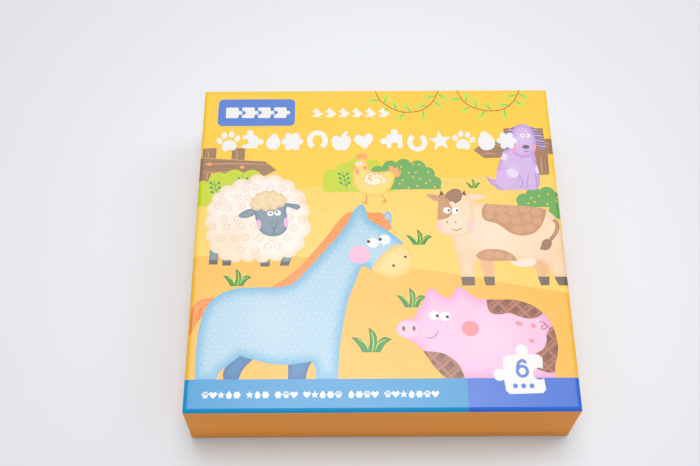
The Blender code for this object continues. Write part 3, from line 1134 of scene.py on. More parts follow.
@dataclass(frozen=True)
class Cow(Drawing):
    """A cream cow with tan patches."""

    middle: tuple[float, float] = (59.0, 1.0)
    hoof_height: float = 4.6

    def draw(self, pen: Pen) -> None:
        """Prints far legs, body, patches, udder, tail, near legs and head."""
        shades = (
            Glow(56, 2, 17, Hue.COW_LIGHT, 0.6), Glow(43, -9, 13, Hue.COW_RIM, 0.5),
            Glow(88, -8, 13, Hue.COW_RIM, 0.5),
        )
        coat = Ink(Hue.COW, Hue.COW_RIM, 4, 0.8, shades)
        far, hoof = Ink(Hue.COW_FAR, Hue.COW_RIM, 2), Ink(Hue.COW_HOOF)
        leg(pen, far, hoof, (48, 56.6, -8), (51.2, 55.6, -25.3), self.hoof_height)
        leg(pen, far, hoof, (73.6, 84, -9), (77.8, 81.8, -25.4), self.hoof_height)
        body = pen.blob(
            coat, (45, 20.4), (50.6, 19.8), (57, 18.8), (66, 18.2), (77, 17.2), (84.2, 15.4), (88.8, 10.6),
            (91, 4), (91.6, -8), (91.7, -20.9, 1), (84.6, -20.9, 1), (82.2, -15), (77.6, -12.2),
            (70, -12.4), (61, -12.4), (54, -12.4), (48.2, -12), (46.4, -16), (46.1, -20.7, 1),
            (39.7, -20.7, 1), (39, -13.6), (37, -5), (36, 8),
        )
        for corners in (
            ((39.9, -25.3), (46.1, -25.3), (46.1, -20.7), (39.6, -20.7)),
            ((86.4, -25.5), (91.6, -25.5), (91.7, -20.9), (84.6, -20.9)),
        ):
            pen.fill(hoof, np.array(corners))
        pen.blob(
            Ink(Hue.UDDER, Hue.COW, 2, 0.5), (63, -12), (67.2, -15.2), (72, -15.6), (76, -14.4),
            (76.8, -12), (75.4, -10.4), (71, -11), (66, -12.4),
        )
        saddle = pen.blob(
            Ink(Hue.PATCH, Hue.PATCH_RIM, 2.5, 0.5), (55.4, 19.6), (52.6, 17), (51.8, 12.6), (53.6, 9.6),
            (58.4, 8.2), (62.2, 5.4), (65.8, 2.6), (71, 1.2), (76.6, 2.4), (80.6, 6), (83.2, 11.4),
            (84, 16), (80, 19), (66, 21), on=body,
        )
        apron = pen.blob(
            Ink(Hue.PATCH, Hue.PATCH_RIM, 1.6, 0.5), (47.6, -9.4), (50.4, -7), (55, -6), (61.6, -6.9),
            (66, -9.6), (67, -12.8), (56, -13.4), (49.6, -11.6), on=body,
        )
        rings = (
            (56.4, 16.6, 2.4), (61.6, 15.8, 2.2), (67.2, 15.4, 2.6), (73.4, 16.6, 2.5), (79, 14.4, 2.2),
            (55.6, 12.2, 1.8), (62.6, 10.6, 2.4), (68.6, 9.4, 2), (74.2, 11, 1.8), (79.4, 9, 2),
            (69.6, 4.6, 2.3), (75.2, 5.2, 2.2),
        )
        apron_rings = ((54.2, -8.6, 1.9), (59, -9.2, 1.9), (63.6, -10.4, 1.7))
        for patch, spots in ((saddle, rings), (apron, apron_rings)):
            for x, y, radius in spots:
                ringed = (1, Hue.PATCH_RING), (0.84, Hue.PATCH), (0.5, Hue.PATCH_RING), (0.32, Hue.PATCH)
                for share, hue in ringed:
                    pen.oval(Ink(hue), x, y, radius * share, radius * share * 0.95, 0, patch)
        tail = Ink(Hue.PATCH, Hue.COW_HAIR, 0.9, 0.8)
        pen.line(tail, (87.2, 9.8), (88.7, 8.4), (88.8, 5.6), (87.2, 1.9), (84.4, -1.6), width=2, taper=0.12)
        pen.blob(
            Ink(Hue.COW_HAIR, Hue.COW_DARK, 1.6, 0.35), (82.9, -0.7), (85.2, -2.2), (84.4, -5.2),
            (82, -6.8), (78.9, -6.2, 1), (79.9, -4.3), (80.7, -2),
        )
        for knots, ink in (
            (((32.6, 22.8), (28, 24.6), (24.4, 24.4), (25.2, 23), (29.3, 20.5), (33, 19.8)), Hue.PATCH),
            (
                ((43.9, 23.8), (47.1, 24.7), (50.6, 24.6), (54.4, 23), (53.3, 21.7), (49, 21), (45, 21)),
                Hue.COW,
            ),
        ):
            pen.blob(Ink(ink, Hue.COW_RIM, 1.2, 0.5), *knots)
        for x, side in ((32.6, -1), (43.2, 1)):
            pen.blob(Ink(Hue.COW_DARK), (x - 1.6, 22.4), (x + side * 0.6, 26.9, 1), (x + 1.6, 22.6))
        head = pen.blob(
            Ink(Hue.COW, Hue.COW_RIM, 3, 0.7, (Glow(39, 8, 8, Hue.COW_LIGHT, 0.6),)), (31.4, 23.6),
            (36, 24.6), (44, 24), (47.4, 20.6), (47.8, 14.6), (47.4, 7.6), (45.6, 3), (41.2, 1.2),
            (36.4, 1.2), (31.6, 2.2), (29.2, 5.4), (29.6, 12), (30.4, 19.6),
        )
        pen.blob(
            Ink(Hue.PATCH, Hue.PATCH_RIM, 2, 0.5), (28, 25.6), (35.6, 25.2), (35.8, 19.6), (37.4, 16.4),
            (36.4, 12.8), (33.6, 10.8), (28.4, 11), on=head,
        )
        for x, y in ((30.6, 6.6), (45.6, 6.4)):
            pen.oval(Ink(Hue.BLUSH, Hue.COW, 1.3, 0.6), x, y, 2, 2.9, 0, head)
        pen.blob(
            Ink(Hue.COW_HAIR, Hue.COW_DARK, 2, 0.4), (35.6, 26), (38.6, 27.6), (41.6, 27), (42.6, 23.8),
            (41.4, 20.8), (38.8, 19.2, 1), (37.6, 20.6), (36.2, 20, 1), (35.2, 22.2), (34, 22.4, 1),
            (34.4, 24.4),
        )
        eye(pen, 34.6, 15.4, 2, (0.4, 0))
        eye(pen, 38.8, 15.4, 2, (0.4, 0))
        for x in (34.4, 38.6):
            pen.oval(Ink(Hue.PUPIL), x, 8.8, 0.42, 0.42)
        pen.line(Ink(Hue.PUPIL), (36.4, 5.2), (38.8, 4.2), (41.6, 5.8), width=0.4)


@dataclass(frozen=True)
class Pig(Drawing):
    """A pink pig with checked patches."""

    middle: tuple[float, float] = (46.0, -49.5)
    ground: float = -71.6

    def checked(self, pen: Pen, patch: int, middle: tuple[float, float], reach: float) -> None:
        """Prints crossing bands and lines over a patch."""
        for turn in (40, 130):
            for number in range(-3, 4):
                for offset, width in ((0, 1.3), (1.9, 0.45)):
                    band = panel(0, number * 6 + offset, 2 * reach, width)
                    pen.fill(Ink(Hue.CHECK_LINE), turned(band, turn) + middle, patch)
        for row in range(-3, 4):
            for column in range(-3, 4):
                square = panel(row * 6 + 4, column * 6 + 4, 2.8, 2.8)
                pen.fill(Ink(Hue.CHECK_DARK), turned(square, 40) + middle, patch)

    def draw(self, pen: Pen) -> None:
        """Prints body, patches, spots, tail and face."""
        foot = self.ground
        body = pen.blob(
            Ink(Hue.PIG, Hue.PIG_RIM, 6, 0.9, (Glow(52, -52, 20, Hue.PIG_LIGHT, 0.6),)), (8.6, -44.6),
            (12, -42.6), (15.8, -42), (17.4, -39), (20.4, -34.4), (21.8, -31), (23.2, -27.8), (25.4, -26.8),
            (28, -29), (31, -31.4), (34, -31.4), (35.6, -28.8), (37.8, -26), (40.6, -27.2), (43.8, -30),
            (48, -32.2), (56, -32.6), (64, -32.8), (71.4, -35), (77.2, -39.2), (81.2, -46), (82.8, -54),
            (82.4, -60), (80.6, -66), (80, foot, 1), (30, foot, 1), (25.2, -66.6), (21, -60.2),
            (17.2, -55.2), (13, -52.4), (9, -50.4), (7.4, -47.4),
        )
        patches = (
            ((52.2, -30), (51.2, -36), (52.6, -39.4), (56.6, -40.2), (61.6, -39.6), (66.4, -41.4), (72, -42.4),
             (77.4, -39.8), (80, -34), (66, -28)),
            ((18, -58.6), (22.6, -58.4), (29, -59.4), (34, -62.6), (37.2, -67), (37.8, -73), (28, -74)),
            ((81.6, -46), (78.2, -50), (77.8, -53.6), (75.7, -57.6), (71.5, -60.2), (70, -64), (73, -67.6),
             (80, -68.6), (86, -60), (84.6, -48)),
        )
        for middle, knots in zip(((65, -35), (28, -66), (78, -58)), patches):
            patch = pen.blob(Ink(Hue.CHECK), *knots, on=body)
            self.checked(pen, patch, middle, 26)
        for x, y, across, up in ((65.6, -44.9, 1.9, 1.1), (72.2, -46, 1.2, 1.1), (70.8, -53.4, 1.3, 1.1)):
            pen.oval(Ink(Hue.PIG_CHEEK), x, y, across, up, -20, body)
        for knots in (
            ((75.4, -43.9), (77.4, -44.5), (78.6, -46), (78.2, -47.4)),
            ((78.3, -47.2), (76.9, -47.9), (76, -47.2), (76.3, -46)),
            ((76.2, -46.3), (77.8, -45.5), (79.5, -46.8), (79.7, -49.2), (78.4, -50.5)),
        ):
            pen.line(Ink(Hue.PIG_TAIL), *knots, width=0.6, taper=0.2)
        pen.oval(Ink(Hue.PIG_NOSE, Hue.PIG_RIM, 1.6, 0.35), 13.4, -47.4, 5.9, 4.5, -4)
        for x in (11, 15.9):
            pen.oval(Ink(Hue.CHECK_DARK), x, -47, 0.72, 1.3)
        pen.oval(Ink(Hue.PIG_CHEEK), 42.4, -47.2, 4.2, 3.9, 0, body)
        pen.line(Ink(Hue.PIG_LINE), (21, -51.6), (24.2, -51.8), (26.6, -49.8), (27.2, -47.8), width=0.5)
        eye(pen, 25.6, -40.5, 2.6, (0.58, -0.1))
        eye(pen, 30.7, -41, 2.6, (0.46, -0.1))


@dataclass(frozen=True)
class Dog(Drawing):
    """A lilac dog, sitting."""

    middle: tuple[float, float] = (72.0, 46.0)
    stripes: int = 9

    def draw(self, pen: Pen) -> None:
        """Prints tail, body, spots, head, ears and face."""
        coat = Ink(Hue.DOG, Hue.DOG_RIM, 2.6, 0.9)
        pen.blob(coat, (55.2, 34.8, 1), (57, 31), (60.4, 28.2), (64, 28), (62, 32.4), (58.6, 33))
        body = pen.blob(
            replace(coat, glows=(Glow(68, 38, 8, Hue.DOG_LIGHT, 0.5),)), (67, 51), (63.8, 45.4),
            (61.4, 38.4), (60, 31), (60.4, 27.4), (66, 26.9), (75, 26.9), (80.4, 27.2), (82.3, 30.4),
            (82.6, 37), (81.6, 44), (80.6, 51),
        )
        pen.oval(Ink(Hue.DOG, Hue.DOG_RIM, 1.4, 0.55), 65.9, 33.4, 6.6, 6.6, 0, body)
        for x, y, across in ((71.2, 27.9, 4.6), (78, 27.9, 3.4)):
            pen.oval(Ink(Hue.DOG, Hue.DOG_RIM, 1.2, 0.6), x, y, across, 1.6, 0, body)
        spots = ((65.2, 46.4, 2, 2.5, 30), (69, 36.6, 3.3, 2.4, -35), (82, 38.6, 1.2, 2.4, 0))
        for x, y, across, up, turn in spots:
            pen.oval(Ink(Hue.DOG_SPOT), x, y, across, up, turn, body)
        for knots in (
            ((72.4, 28), (73.8, 31.6), (72.2, 35.8)), ((76.6, 27.4), (75.9, 31), (77.4, 36)),
            ((80.6, 28.6), (80.9, 33), (80.2, 37)),
        ):
            pen.line(Ink(Hue.DOG_RIM), *knots, width=0.55, on=body)
        for side in (-1, 1):
            outline = ((4.2, 64.4), (8.2, 61.2), (10.6, 55.2), (10.6, 51), (9.4, 50), (7.6, 51.2), (5.6, 56.8))
            ear = pen.blob(Ink(Hue.DOG_EAR), *((76.4 + side * x, y) for x, y in outline))
            for number in range(self.stripes):
                y = 64 - number * 1.55
                slant = np.array([(76.4 + side * 2, y + 0.8), (76.4 + side * 12, y - 1.4)])
                pen.fill(Ink(Hue.DOG_STRIPE if number % 2 else Hue.DOG_RIM), stroke(slant, 0.62), ear)
        head = pen.blob(
            replace(coat, glows=(Glow(75, 57, 7, Hue.DOG_LIGHT, 0.5),)), (76.4, 66), (80.2, 64.2),
            (82.2, 59.6), (82.8, 54), (81.6, 49.2), (78.6, 46.4), (75.4, 45.7), (72, 46.8), (69.8, 50.2),
            (69.6, 55), (70.6, 60.6), (72.8, 64.6),
        )
        for x, y in ((70.4, 51.6), (82, 51.2)):
            pen.oval(Ink(Hue.PIG_CHEEK_PALE), x, y, 1.6, 2.3, 0, head)
        eye(pen, 76, 58.9, 1.3, (0.1, -0.05), 0.28)
        eye(pen, 78.9, 58.9, 1.3, (-0.5, -0.05), 0.28)
        pen.oval(Ink(Hue.DOG_NOSE, Hue.PUPIL, 0.8, 0.6), 77.2, 52.1, 1.9, 1.15)
        pen.line(Ink(Hue.DOG_LINE), (75.8, 49.6), (77.2, 49), (78.7, 49.8), width=0.35)
        pen.line(Ink(Hue.DOG_LINE), (77.2, 51), (77.2, 49.2), width=0.3)


@dataclass(frozen=True)
class Bush(Drawing):
    """A rounded bush of overlapping bumps on a level base."""

    base: float
    bumps: tuple[tuple[float, float, float], ...]
    dark: bool = False
    sprigs: tuple[tuple[float, float], ...] = ()

    def draw(self, pen: Pen) -> None:
        """Prints the bumps, then dots or sprigs."""
        ink = Ink(Hue.LEAF if self.dark else Hue.LIME)
        crowns = [panel(x, (y + self.base) / 2, 1.7 * r, y - self.base, 0) for x, y, r in self.bumps]
        crowns += [oval(x, y, r, r) for x, y, r in self.bumps]
        for crown in crowns:
            pen.fill(ink, crown)
        if self.dark:
            xs, ys = [b[0] for b in self.bumps], [b[1] for b in self.bumps]
            high = max(ys)
            middle = sum(xs) / len(xs), (high + self.base) / 2 + 1
            field = panel(*middle, np.ptp(xs) + 6, high - self.base + 6)
            for x, y in lattice(field, 4.7, 0, 0.3, 4):
                if any(within(np.array([(x, y)]), inset(crowns[i], 0.9))[0] for i in range(len(crowns))):
                    pen.oval(Ink(Hue.LEAF_DOT), x, y, 0.52, 0.5)
        stem = Ink(Hue.LIME_DARK)
        for x, y in self.sprigs:
            pen.line(stem, (x + 1.2, y - 4.6), (x + 0.2, y), (x - 1.4, y + 6.4), width=0.42, taper=0.3)
            for step in range(3):
                rise = y - 2.4 + 2.6 * step
                for side in (-1, 1):
                    tip = x + side * 2.1 - 0.4 * step, rise + 1.8
                    pen.line(stem, (x + 0.5 - 0.5 * step, rise), tip, width=0.4, taper=0.2)
                    pen.oval(stem, *tip, 0.75, 0.75)


@dataclass(frozen=True)
class Tuft(Drawing):
    """A tuft of grass of a few curved blades."""

    x: float
    y: float
    width: float
    height: float

    def draw(self, pen: Pen) -> None:
        """Prints the blades and their veins."""
        w, h = self.width / 2, self.height
        blades = (
            ((-0.46, 0), (-0.64, 0.26), (-1, 0.61), (-0.6, 0.55), (-0.22, 0.3), (-0.08, 0)),
            ((0.42, 0), (0.64, 0.3), (1, 0.51), (0.62, 0.6), (0.26, 0.38), (0.04, 0)),
            ((-0.2, 0), (-0.09, 0.45), (-0.15, 1), (0.2, 0.74), (0.26, 0.42), (0.14, 0)),
        )
        veins = (
            ((-0.1, 0), (-0.32, 0.36), (-0.68, 0.52)),
            ((0.12, 0), (0.34, 0.36), (0.72, 0.5)),
            ((0.02, 0), (0.1, 0.42), (0, 0.8)),
        )
        for blade, vein in zip(blades, veins):
            knots = [
                (self.x + px * w, self.y + py * h, 1)[: 3 if i in (0, 2, 5) else 2]
                for i, (px, py) in enumerate(blade)
            ]
            own = pen.blob(Ink(Hue.GRASS, Hue.GRASS_DARK, 0.5, 0.7), *knots)
            path = [(self.x + px * w, self.y + py * h) for px, py in vein]
            pen.line(Ink(Hue.VEIN), *path, width=0.03 * h + 0.24, taper=0.6, on=own)


@dataclass(frozen=True)
class Fence(Drawing):
    """Planks and posts of a garden fence, with nails and grain."""

    boards: tuple[tuple[tuple[float, float], ...], ...]
    nails: tuple[tuple[float, float], ...] = ()

    def draw(self, pen: Pen) -> None:
        """Prints the boards, their edges, grain and nails."""
        for board in self.boards:
            outline = np.array(board, float)
            own = pen.fill(Ink(Hue.FENCE), outline)
            low, high = outline.min(0), outline.max(0)
            level = high[0] - low[0] > high[1] - low[1]
            count = int((high[1] - low[1] if level else high[0] - low[0]) / 1.5)
            for i in range(count):
                share = (i + 0.5) / count
                wave = 0.5 * math.sin(2.1 * i)
                if level:
                    y = low[1] + share * (high[1] - low[1])
                    span = (low[0] + 2 + 3 * (i % 3), high[0] - 4 - 5 * (i % 2))
                    knots = ((span[0], y), (sum(span) / 2, y + wave), (span[1], y - 0.4))
                else:
                    x = low[0] + share * (high[0] - low[0])
                    knots = ((x, low[1] + 1), (x + wave, (low[1] + high[1]) / 2), (x - 0.3, high[1] - 1.5))
                pen.line(Ink(Hue.FENCE_LINE if i % 3 == 1 else Hue.FENCE_DARK), *knots, width=0.28, on=own)
            edge = max(zip(outline, np.roll(outline, -1, 0)), key=lambda e: e[0][1] + e[1][1])
            pen.fill(Ink(Hue.FENCE_LINE), stroke(np.array(edge), 0.5), own)
        for x, y in self.nails:
            pen.oval(Ink(Hue.COMB), x, y, 1.3, 0.85)


@dataclass(frozen=True)
class Vine(Drawing):
    """A hanging twig with pairs of leaves."""

    knots: tuple[tuple[float, float], ...]
    leaves: tuple[tuple[float, float], ...] = (
        (0.17, 183), (0.235, 82), (0.305, 212), (0.385, 108), (0.48, 232), (0.54, 128), (0.675, 270),
        (0.74, 177), (0.825, 316), (0.89, 190), (0.93, 318),
    )

    def draw(self, pen: Pen) -> None:
        """Prints the leaves, then the twig over them."""
        path = bend(*self.knots, closed=False, pitch=0.9)
        blade = bend((0.2, 0, 1), (2.6, 1), (5.2, 1.5), (6.6, 0), (5.2, -1.5), (2.6, -1))
        for share, lean in self.leaves:
            start = path[int(share * (len(path) - 1))]
            way = turned(np.array([4.6, 0]), lean)
            pen.fill(Ink(Hue.SPROUT, Hue.LEAF_LIGHT, 0.9, 0.5), turned(blade, lean) + start)
            pen.line(Ink(Hue.SHOOT), tuple(start), tuple(start + way), width=0.55, taper=0.6)
        pen.fill(Ink(Hue.VINE), stroke(path, 0.5, 0.2))


class Mark(Enum):
    """The small picture marks that stand where a printed heading would."""

    PAW = 0
    PIECE = 1
    STAR = 2
    SHOE = 3
    HEART = 4
    EGG = 5
    FLOWER = 6
    APPLE = 7


def mark(pen: Pen, kind: Mark, x: float, y: float, height: float, ink: Ink, lean: float = 0) -> None:
    """Prints one mark.

    Args:
        pen: draws it.
        kind: which one.
        x: its middle's x.
        y: its middle's y.
        height: about how high it is.
        ink: its ink.
        lean: how far it is turned, in degrees.
    """
    unit = height / 2
    outlines: list[Points] = []
    if kind is Mark.PAW:
        pad = (
            (-0.62, -0.5), (-0.4, 0), (0, 0.16), (0.4, 0), (0.62, -0.5), (0.34, -0.86), (0, -0.74),
            (-0.34, -0.86),
        )
        outlines = [bend(*pad, pitch=0.1)]
        toes = ((-0.74, 0.2, 20), (-0.3, 0.66, 6), (0.3, 0.66, -6), (0.74, 0.2, -20))
        outlines += [oval(0, 0, 2.3, 3.2, turn) * 0.1 + (tx, ty) for tx, ty, turn in toes]
    elif kind is Mark.PIECE:
        outlines = [piece_outline(1.3, 0.3, (0, 1, 1, -1), 0.1)]
    elif kind is Mark.STAR:
        turn = np.radians(90 + 36 * np.arange(10))
        reach = np.where(np.arange(10) % 2, 0.5, 1.05)
        outlines = [bend(*np.stack([reach * np.cos(turn), reach * np.sin(turn)], 1), pitch=0.12)]
    elif kind is Mark.SHOE:
        sweep = np.radians(np.linspace(-55, 235, 26))
        outlines = [stroke(np.stack([0.66 * np.cos(sweep), 0.1 + 0.76 * np.sin(sweep)], 1), 0.46)]
    elif kind is Mark.HEART:
        half = ((0.8, -0.1), (0.98, 0.42), (0.55, 0.86))
        other = ((-a, b) for a, b in reversed(half))
        outlines = [bend((0, -0.95, 1), *half, (0, 0.5, 1), *other, pitch=0.12)]
    elif kind is Mark.EGG:
        half = ((0.56, 0.4), (0.74, -0.3), (0.4, -0.88))
        outlines = [bend((0, 1), *half, *((-a, b) for a, b in reversed(half)), pitch=0.12)]
    elif kind is Mark.FLOWER:
        outlines = [scallop(0, 0, 1, 1, 6, 0.34, 30)]
    else:
        half = ((0.4, 0.6), (0.8, 0.3), (0.74, -0.4), (0.3, -0.92))
        other = ((-a, b) for a, b in reversed(half))
        outlines = [bend((0, 0.42), *half, (0, -0.82), *other, pitch=0.12)]
        outlines.append(bend((0.02, 0.5), (0.3, 0.95), (0.62, 1), (0.4, 0.62), pitch=0.12))
    for outline in outlines:
        pen.fill(ink, turned(outline * unit, lean) + (x, y))


@dataclass(frozen=True)
class Farmyard(Drawing):
    """The lid's whole picture."""

    edge: float = 94.0
    band_top: float = -71.4
    band_split: float = 39.5
    tick_pitch: float = 15.0

    def ground(self, pen: Pen) -> None:
        """Prints the two fields and their small ticks."""
        e = self.edge
        field = pen.blob(
            Ink(Hue.FIELD), (-e, 17.8, 1), (-62, 24.6), (-36.6, 28.8), (0, 32.2), (31.8, 34), (60, 34.8),
            (e, 35.2, 1), (e, -e, 1), (-e, -e, 1),
        )
        pen.blob(
            Ink(Hue.MEADOW), (-e, -9.2, 1), (-60, -8.8), (-35, -9.8), (-8, -12.2), (16.4, -15.8), (40, -20),
            (66, -25), (e, -30, 1), (e, -e, 1), (-e, -e, 1),
        )
        whole = panel(0, -24, 2 * e, 112)
        for number, (x, y) in enumerate(lattice(whole, self.tick_pitch, 0, 0.35, 9)):
            below = y < -14 - 0.16 * max(x, -10)
            ink = Ink(Hue.TICK_PALE if below else Hue.TICK)
            for step in (-1.3, 0, 1.3):
                tip = x + 1.25 * step, y + 1.2 + 0.4 * (number % 2)
                pen.line(ink, (x + step, y), tip, width=0.32, on=field)

    def scenery(self, pen: Pen) -> None:
        """Prints fences, bushes, grass and vines."""
        Fence(
            (
                ((-94, 31.6), (-84.8, 31.8), (-84.4, 42), (-94, 42)),
                ((-89.6, 44), (-82.6, 44), (-82.6, 52.4), (-89.6, 52.2)),
                ((-74.8, 44), (-68, 44), (-67.8, 52.2), (-74.6, 52.4)),
                ((-94, 37.4), (-70, 37), (-58, 35.2), (-51.4, 39), (-57.6, 44.3), (-94, 46.7)),
            ),
            ((-85.8, 42.6), (-69, 40.8)),
        ).draw(pen)
        Fence(
            (
                ((82, 35.4), (87.8, 35.6), (88.2, 50), (81.6, 50)),
                ((66.2, 46), (87.2, 46), (87, 63.6), (66.4, 63.6)),
                ((50, 50.2), (55.2, 45.5), (70, 45.8), (70, 55.6), (55.6, 55.3)),
                ((80, 47), (94, 48.2), (94, 57.6), (80, 56.4)),
            ),
            ((86.4, 52.6),),
        ).draw(pen)
        Bush(
            18.2,
            ((-88.6, 28.4, 4.6), (-80.6, 32.6, 5.2), (-72.6, 34, 5.4), (-63.6, 34, 5.2), (-58.4, 30.4, 4.4)),
            sprigs=((-81.6, 27), (-67.4, 29.6)),
        ).draw(pen)
        Bush(
            26,
            (
                (-22.8, 34.4, 5), (-16.4, 38, 5.2), (-9.8, 40.6, 5.6), (-2.4, 40.4, 4.8), (5, 38.4, 4),
                (-24, 29.8, 3.9),
            ),
            sprigs=((-16.4, 32),),
        ).draw(pen)
        Bush(
            27.4,
            (
                (0.6, 37.4, 3.8), (6.8, 40.4, 4), (13.6, 41, 4.3), (20.8, 40.2, 4.2), (25.6, 36.4, 4),
                (28.8, 31.2, 3.9),
            ),
            dark=True,
        ).draw(pen)
        Bush(
            17,
            ((73.6, 20.8, 4), (79, 23.8, 4.4), (85.6, 24.2, 4.4), (90.6, 21, 4.6), (89, 14, 3.8)),
            dark=True,
        ).draw(pen)
        for x, y, width, height in (
            (-68.6, -25, 14.1, 9.2), (20, -3.5, 13.1, 8.6), (48.6, 28, 7.6, 5.4), (-4.2, -58.7, 19.3, 12.5),
            (15.2, -36.4, 14.4, 10.4),
        ):
            Tuft(x, y, width, height).draw(pen)
        for knots in (
            (
                (-0.8, 89.6), (1.8, 82), (6.2, 77.6), (12.6, 74.1), (17.9, 73.6), (24.2, 74.9), (29.6, 79.3),
                (34.6, 89.6),
            ),
            (
                (42.4, 89.6), (46, 81.1), (50.2, 77.1), (55.3, 74.9), (60.4, 74.2), (67.1, 75.3), (72.7, 79.7),
                (77.8, 89.6),
            ),
        ):
            Vine(knots).draw(pen)

    def headings(self, pen: Pen) -> None:
        """Prints the blue badge, the row of large marks and the two rows of small ones."""
        white = Ink(Hue.WHITE)
        pen.fill(Ink(Hue.BADGE), panel(-62.8, 73.8, 40.4, 16.6, 2.6))
        for number in range(4):
            x = -75.6 + number * 8.4
            pen.fill(white, piece_outline(6.6, 1.15, (0, 1, 0, 0 if number == 0 else -1), 0.5) + (x, 73.7))
        for number in range(6):
            x = -31.4 + number * 7
            pen.fill(white, piece_outline(3.9, 0.85, (0, 1, 1, -1), 0.3) + (x, 72.8))
        large = (
            (-76.6, Mark.PAW, 12.6, 8), (-65.6, Mark.PIECE, 12, 0), (-53.4, Mark.EGG, 9.8, -6),
            (-43.6, Mark.FLOWER, 11.4, 0), (-30.6, Mark.SHOE, 12.2, 0), (-18.3, Mark.APPLE, 12, 0),
            (-6.4, Mark.HEART, 10.2, 8), (9.4, Mark.PIECE, 12.4, 90), (21.2, Mark.SHOE, 11.6, 180),
            (33, Mark.STAR, 11.4, 6), (45.2, Mark.PAW, 12, -8), (56.8, Mark.EGG, 11.8, 10),
            (67.6, Mark.FLOWER, 10.6, 0),
        )
        for x, kind, height, lean in large:
            mark(pen, kind, x, 55.9, height, white, lean)
        kinds = (Mark.PAW, Mark.HEART, Mark.STAR, Mark.EGG, Mark.FLOWER)
        x = -80.6
        for number, count in enumerate((5, 3, 3, 5, 4, 7)):
            for step in range(count):
                mark(pen, kinds[(2 * number + step) % len(kinds)], x, -78.8, 3.5, white)
                x += 3.62
            x += 2.2

    def count_badge(self, pen: Pen) -> None:
        """Prints the white puzzle piece with how many pieces a puzzle has."""
        outline = piece_outline(18.4, 2.9, (0, -1, 1, 1), 1.6)
        pen.fill(Ink(Hue.WHITE), turned(outline, 1.5) + (66, -69.6))
        blue = Ink(Hue.BADGE)
        pen.line(blue, (67.3, -64.3), (65.6, -63), (63.6, -64.4), (62.9, -68.4), width=1.5, taper=0.1)
        pen.oval(blue, 65.2, -68.2, 3.1, 3.2)
        pen.oval(Ink(Hue.WHITE), 65.2, -68.2, 1.65, 1.75)
        for x in (61.4, 65.2, 69):
            pen.oval(blue, x, -75.2, 1.2, 1.2)

    def draw(self, pen: Pen) -> None:
        """Prints everything, back to front."""
        self.ground(pen)
        self.scenery(pen)
        for animal in (Sheep(), Hen(), Cow(), Dog(), Horse(), Pig()):
            animal.draw(pen)
        e = self.edge
        for left, right, hue in ((-e, self.band_split, Hue.BAND), (self.band_split, e, Hue.ROYAL)):
            top = self.band_top
            pen.fill(Ink(hue), np.array([(left, -e), (right, -e), (right, top), (left, top)]))
        self.count_badge(pen)
        self.headings(pen)


@dataclass(frozen=True)
class Portrait(Drawing):
    """One puzzle's picture: its animal in a field, and the border on its frame."""

    animal: Drawing
    size: float
    border: Hue
    trim: Hue
    lift: float = 0.0
    across: float = 83.0
    up: float = 79.5

    def draw(self, pen: Pen) -> None:
        """Prints sky, field, bushes, grass and the animal."""
        w, h = self.across, self.up
        sky = pen.fill(Ink(Hue.SKY), panel(0, 0, 2 * w, 2 * h))
        pen.blob(Ink(Hue.FIELD), (-w, 4, 1), (-30, 9), (20, 12), (w, 10, 1), (w, -h, 1), (-w, -h, 1), on=sky)
        meadow = ((-w, -26, 1), (-20, -28), (30, -34), (w, -42, 1), (w, -h, 1), (-w, -h, 1))
        pen.blob(Ink(Hue.MEADOW), *meadow, on=sky)
        light = pen.at(2, -34, 1.5)
        Bush(26, ((-40, 34.4, 6), (-32, 38, 6.2), (-23, 36, 5.6)), sprigs=((-34, 32),)).draw(light)
        Bush(26, ((25, 34.4, 5), (32, 37, 5.2), (39, 34.6, 5)), dark=True).draw(light)
        x, y = self.animal.middle
        animal = pen.at(-x * self.size, self.lift - y * self.size, self.size)
        for x, y, width in ((-50, -46, 20), (48, -38, 18), (2, -60, 22)):
            Tuft(x, y, width, 0.66 * width).draw(pen)
        self.animal.draw(animal)

    def frame_border(self, pen: Pen, window: Points) -> None:
        """Prints the frame's border round its window."""
        pen.fill(Ink(self.border), panel(0, 0, 2 * self.across, 2 * self.up, 8))
        high = window.max(0)
        count = (15, 14)
        for axis in (0, 1):
            reach = (high[axis] + 6, high[1 - axis] + 6)
            for side in (-1, 1):
                for number in range(count[axis]):
                    along = -reach[0] + 2 * reach[0] * number / count[axis]
                    spot = (side * along, -side * reach[1])
                    x, y = spot if axis == 0 else (spot[1], -spot[0])
                    if number % 3 == 0:
                        mark(pen, Mark.FLOWER, x, y, 4.6, Ink(Hue.WHITE))
                        pen.oval(Ink(Hue.SKY), x, y, 0.8, 0.8)
                    else:
                        pen.oval(Ink(self.trim), x, y, 1.1, 1.1)


# ---------------------------------------------------------------- finishes


@dataclass(frozen=True)
class LaminatedPrint:
    """Printed paper under a thin film, glued over board."""

    name: str = "laminated print"
    roughness: float = 0.36
    mottle: float = 0.05
    fibre: float = 0.00035
    ripple: float = 0.02

    def material(self) -> bpy.types.Material:
        """Makes the material; its colour comes from the mesh's printed ink."""
        g = Graph(self.name)
        grain = g.noise(self.fibre, 3.0)
        cloud = g.noise(0.03, 2.0)
        shade = 1 - self.mottle / 2 + (grain - 0.5) * self.mottle + (cloud - 0.5) * (0.6 * self.mottle)
        rough = self.roughness + (cloud - 0.5) * 0.08 + (grain - 0.5) * 0.06
        g.bump(grain * 0.12 + g.noise(self.ripple, 1.0), 0.00006, 0.5)
        return g.finish(g.ink().scaled(shade), rough, IOR=1.5, Coat_Weight=0.6, Coat_Roughness=0.4)


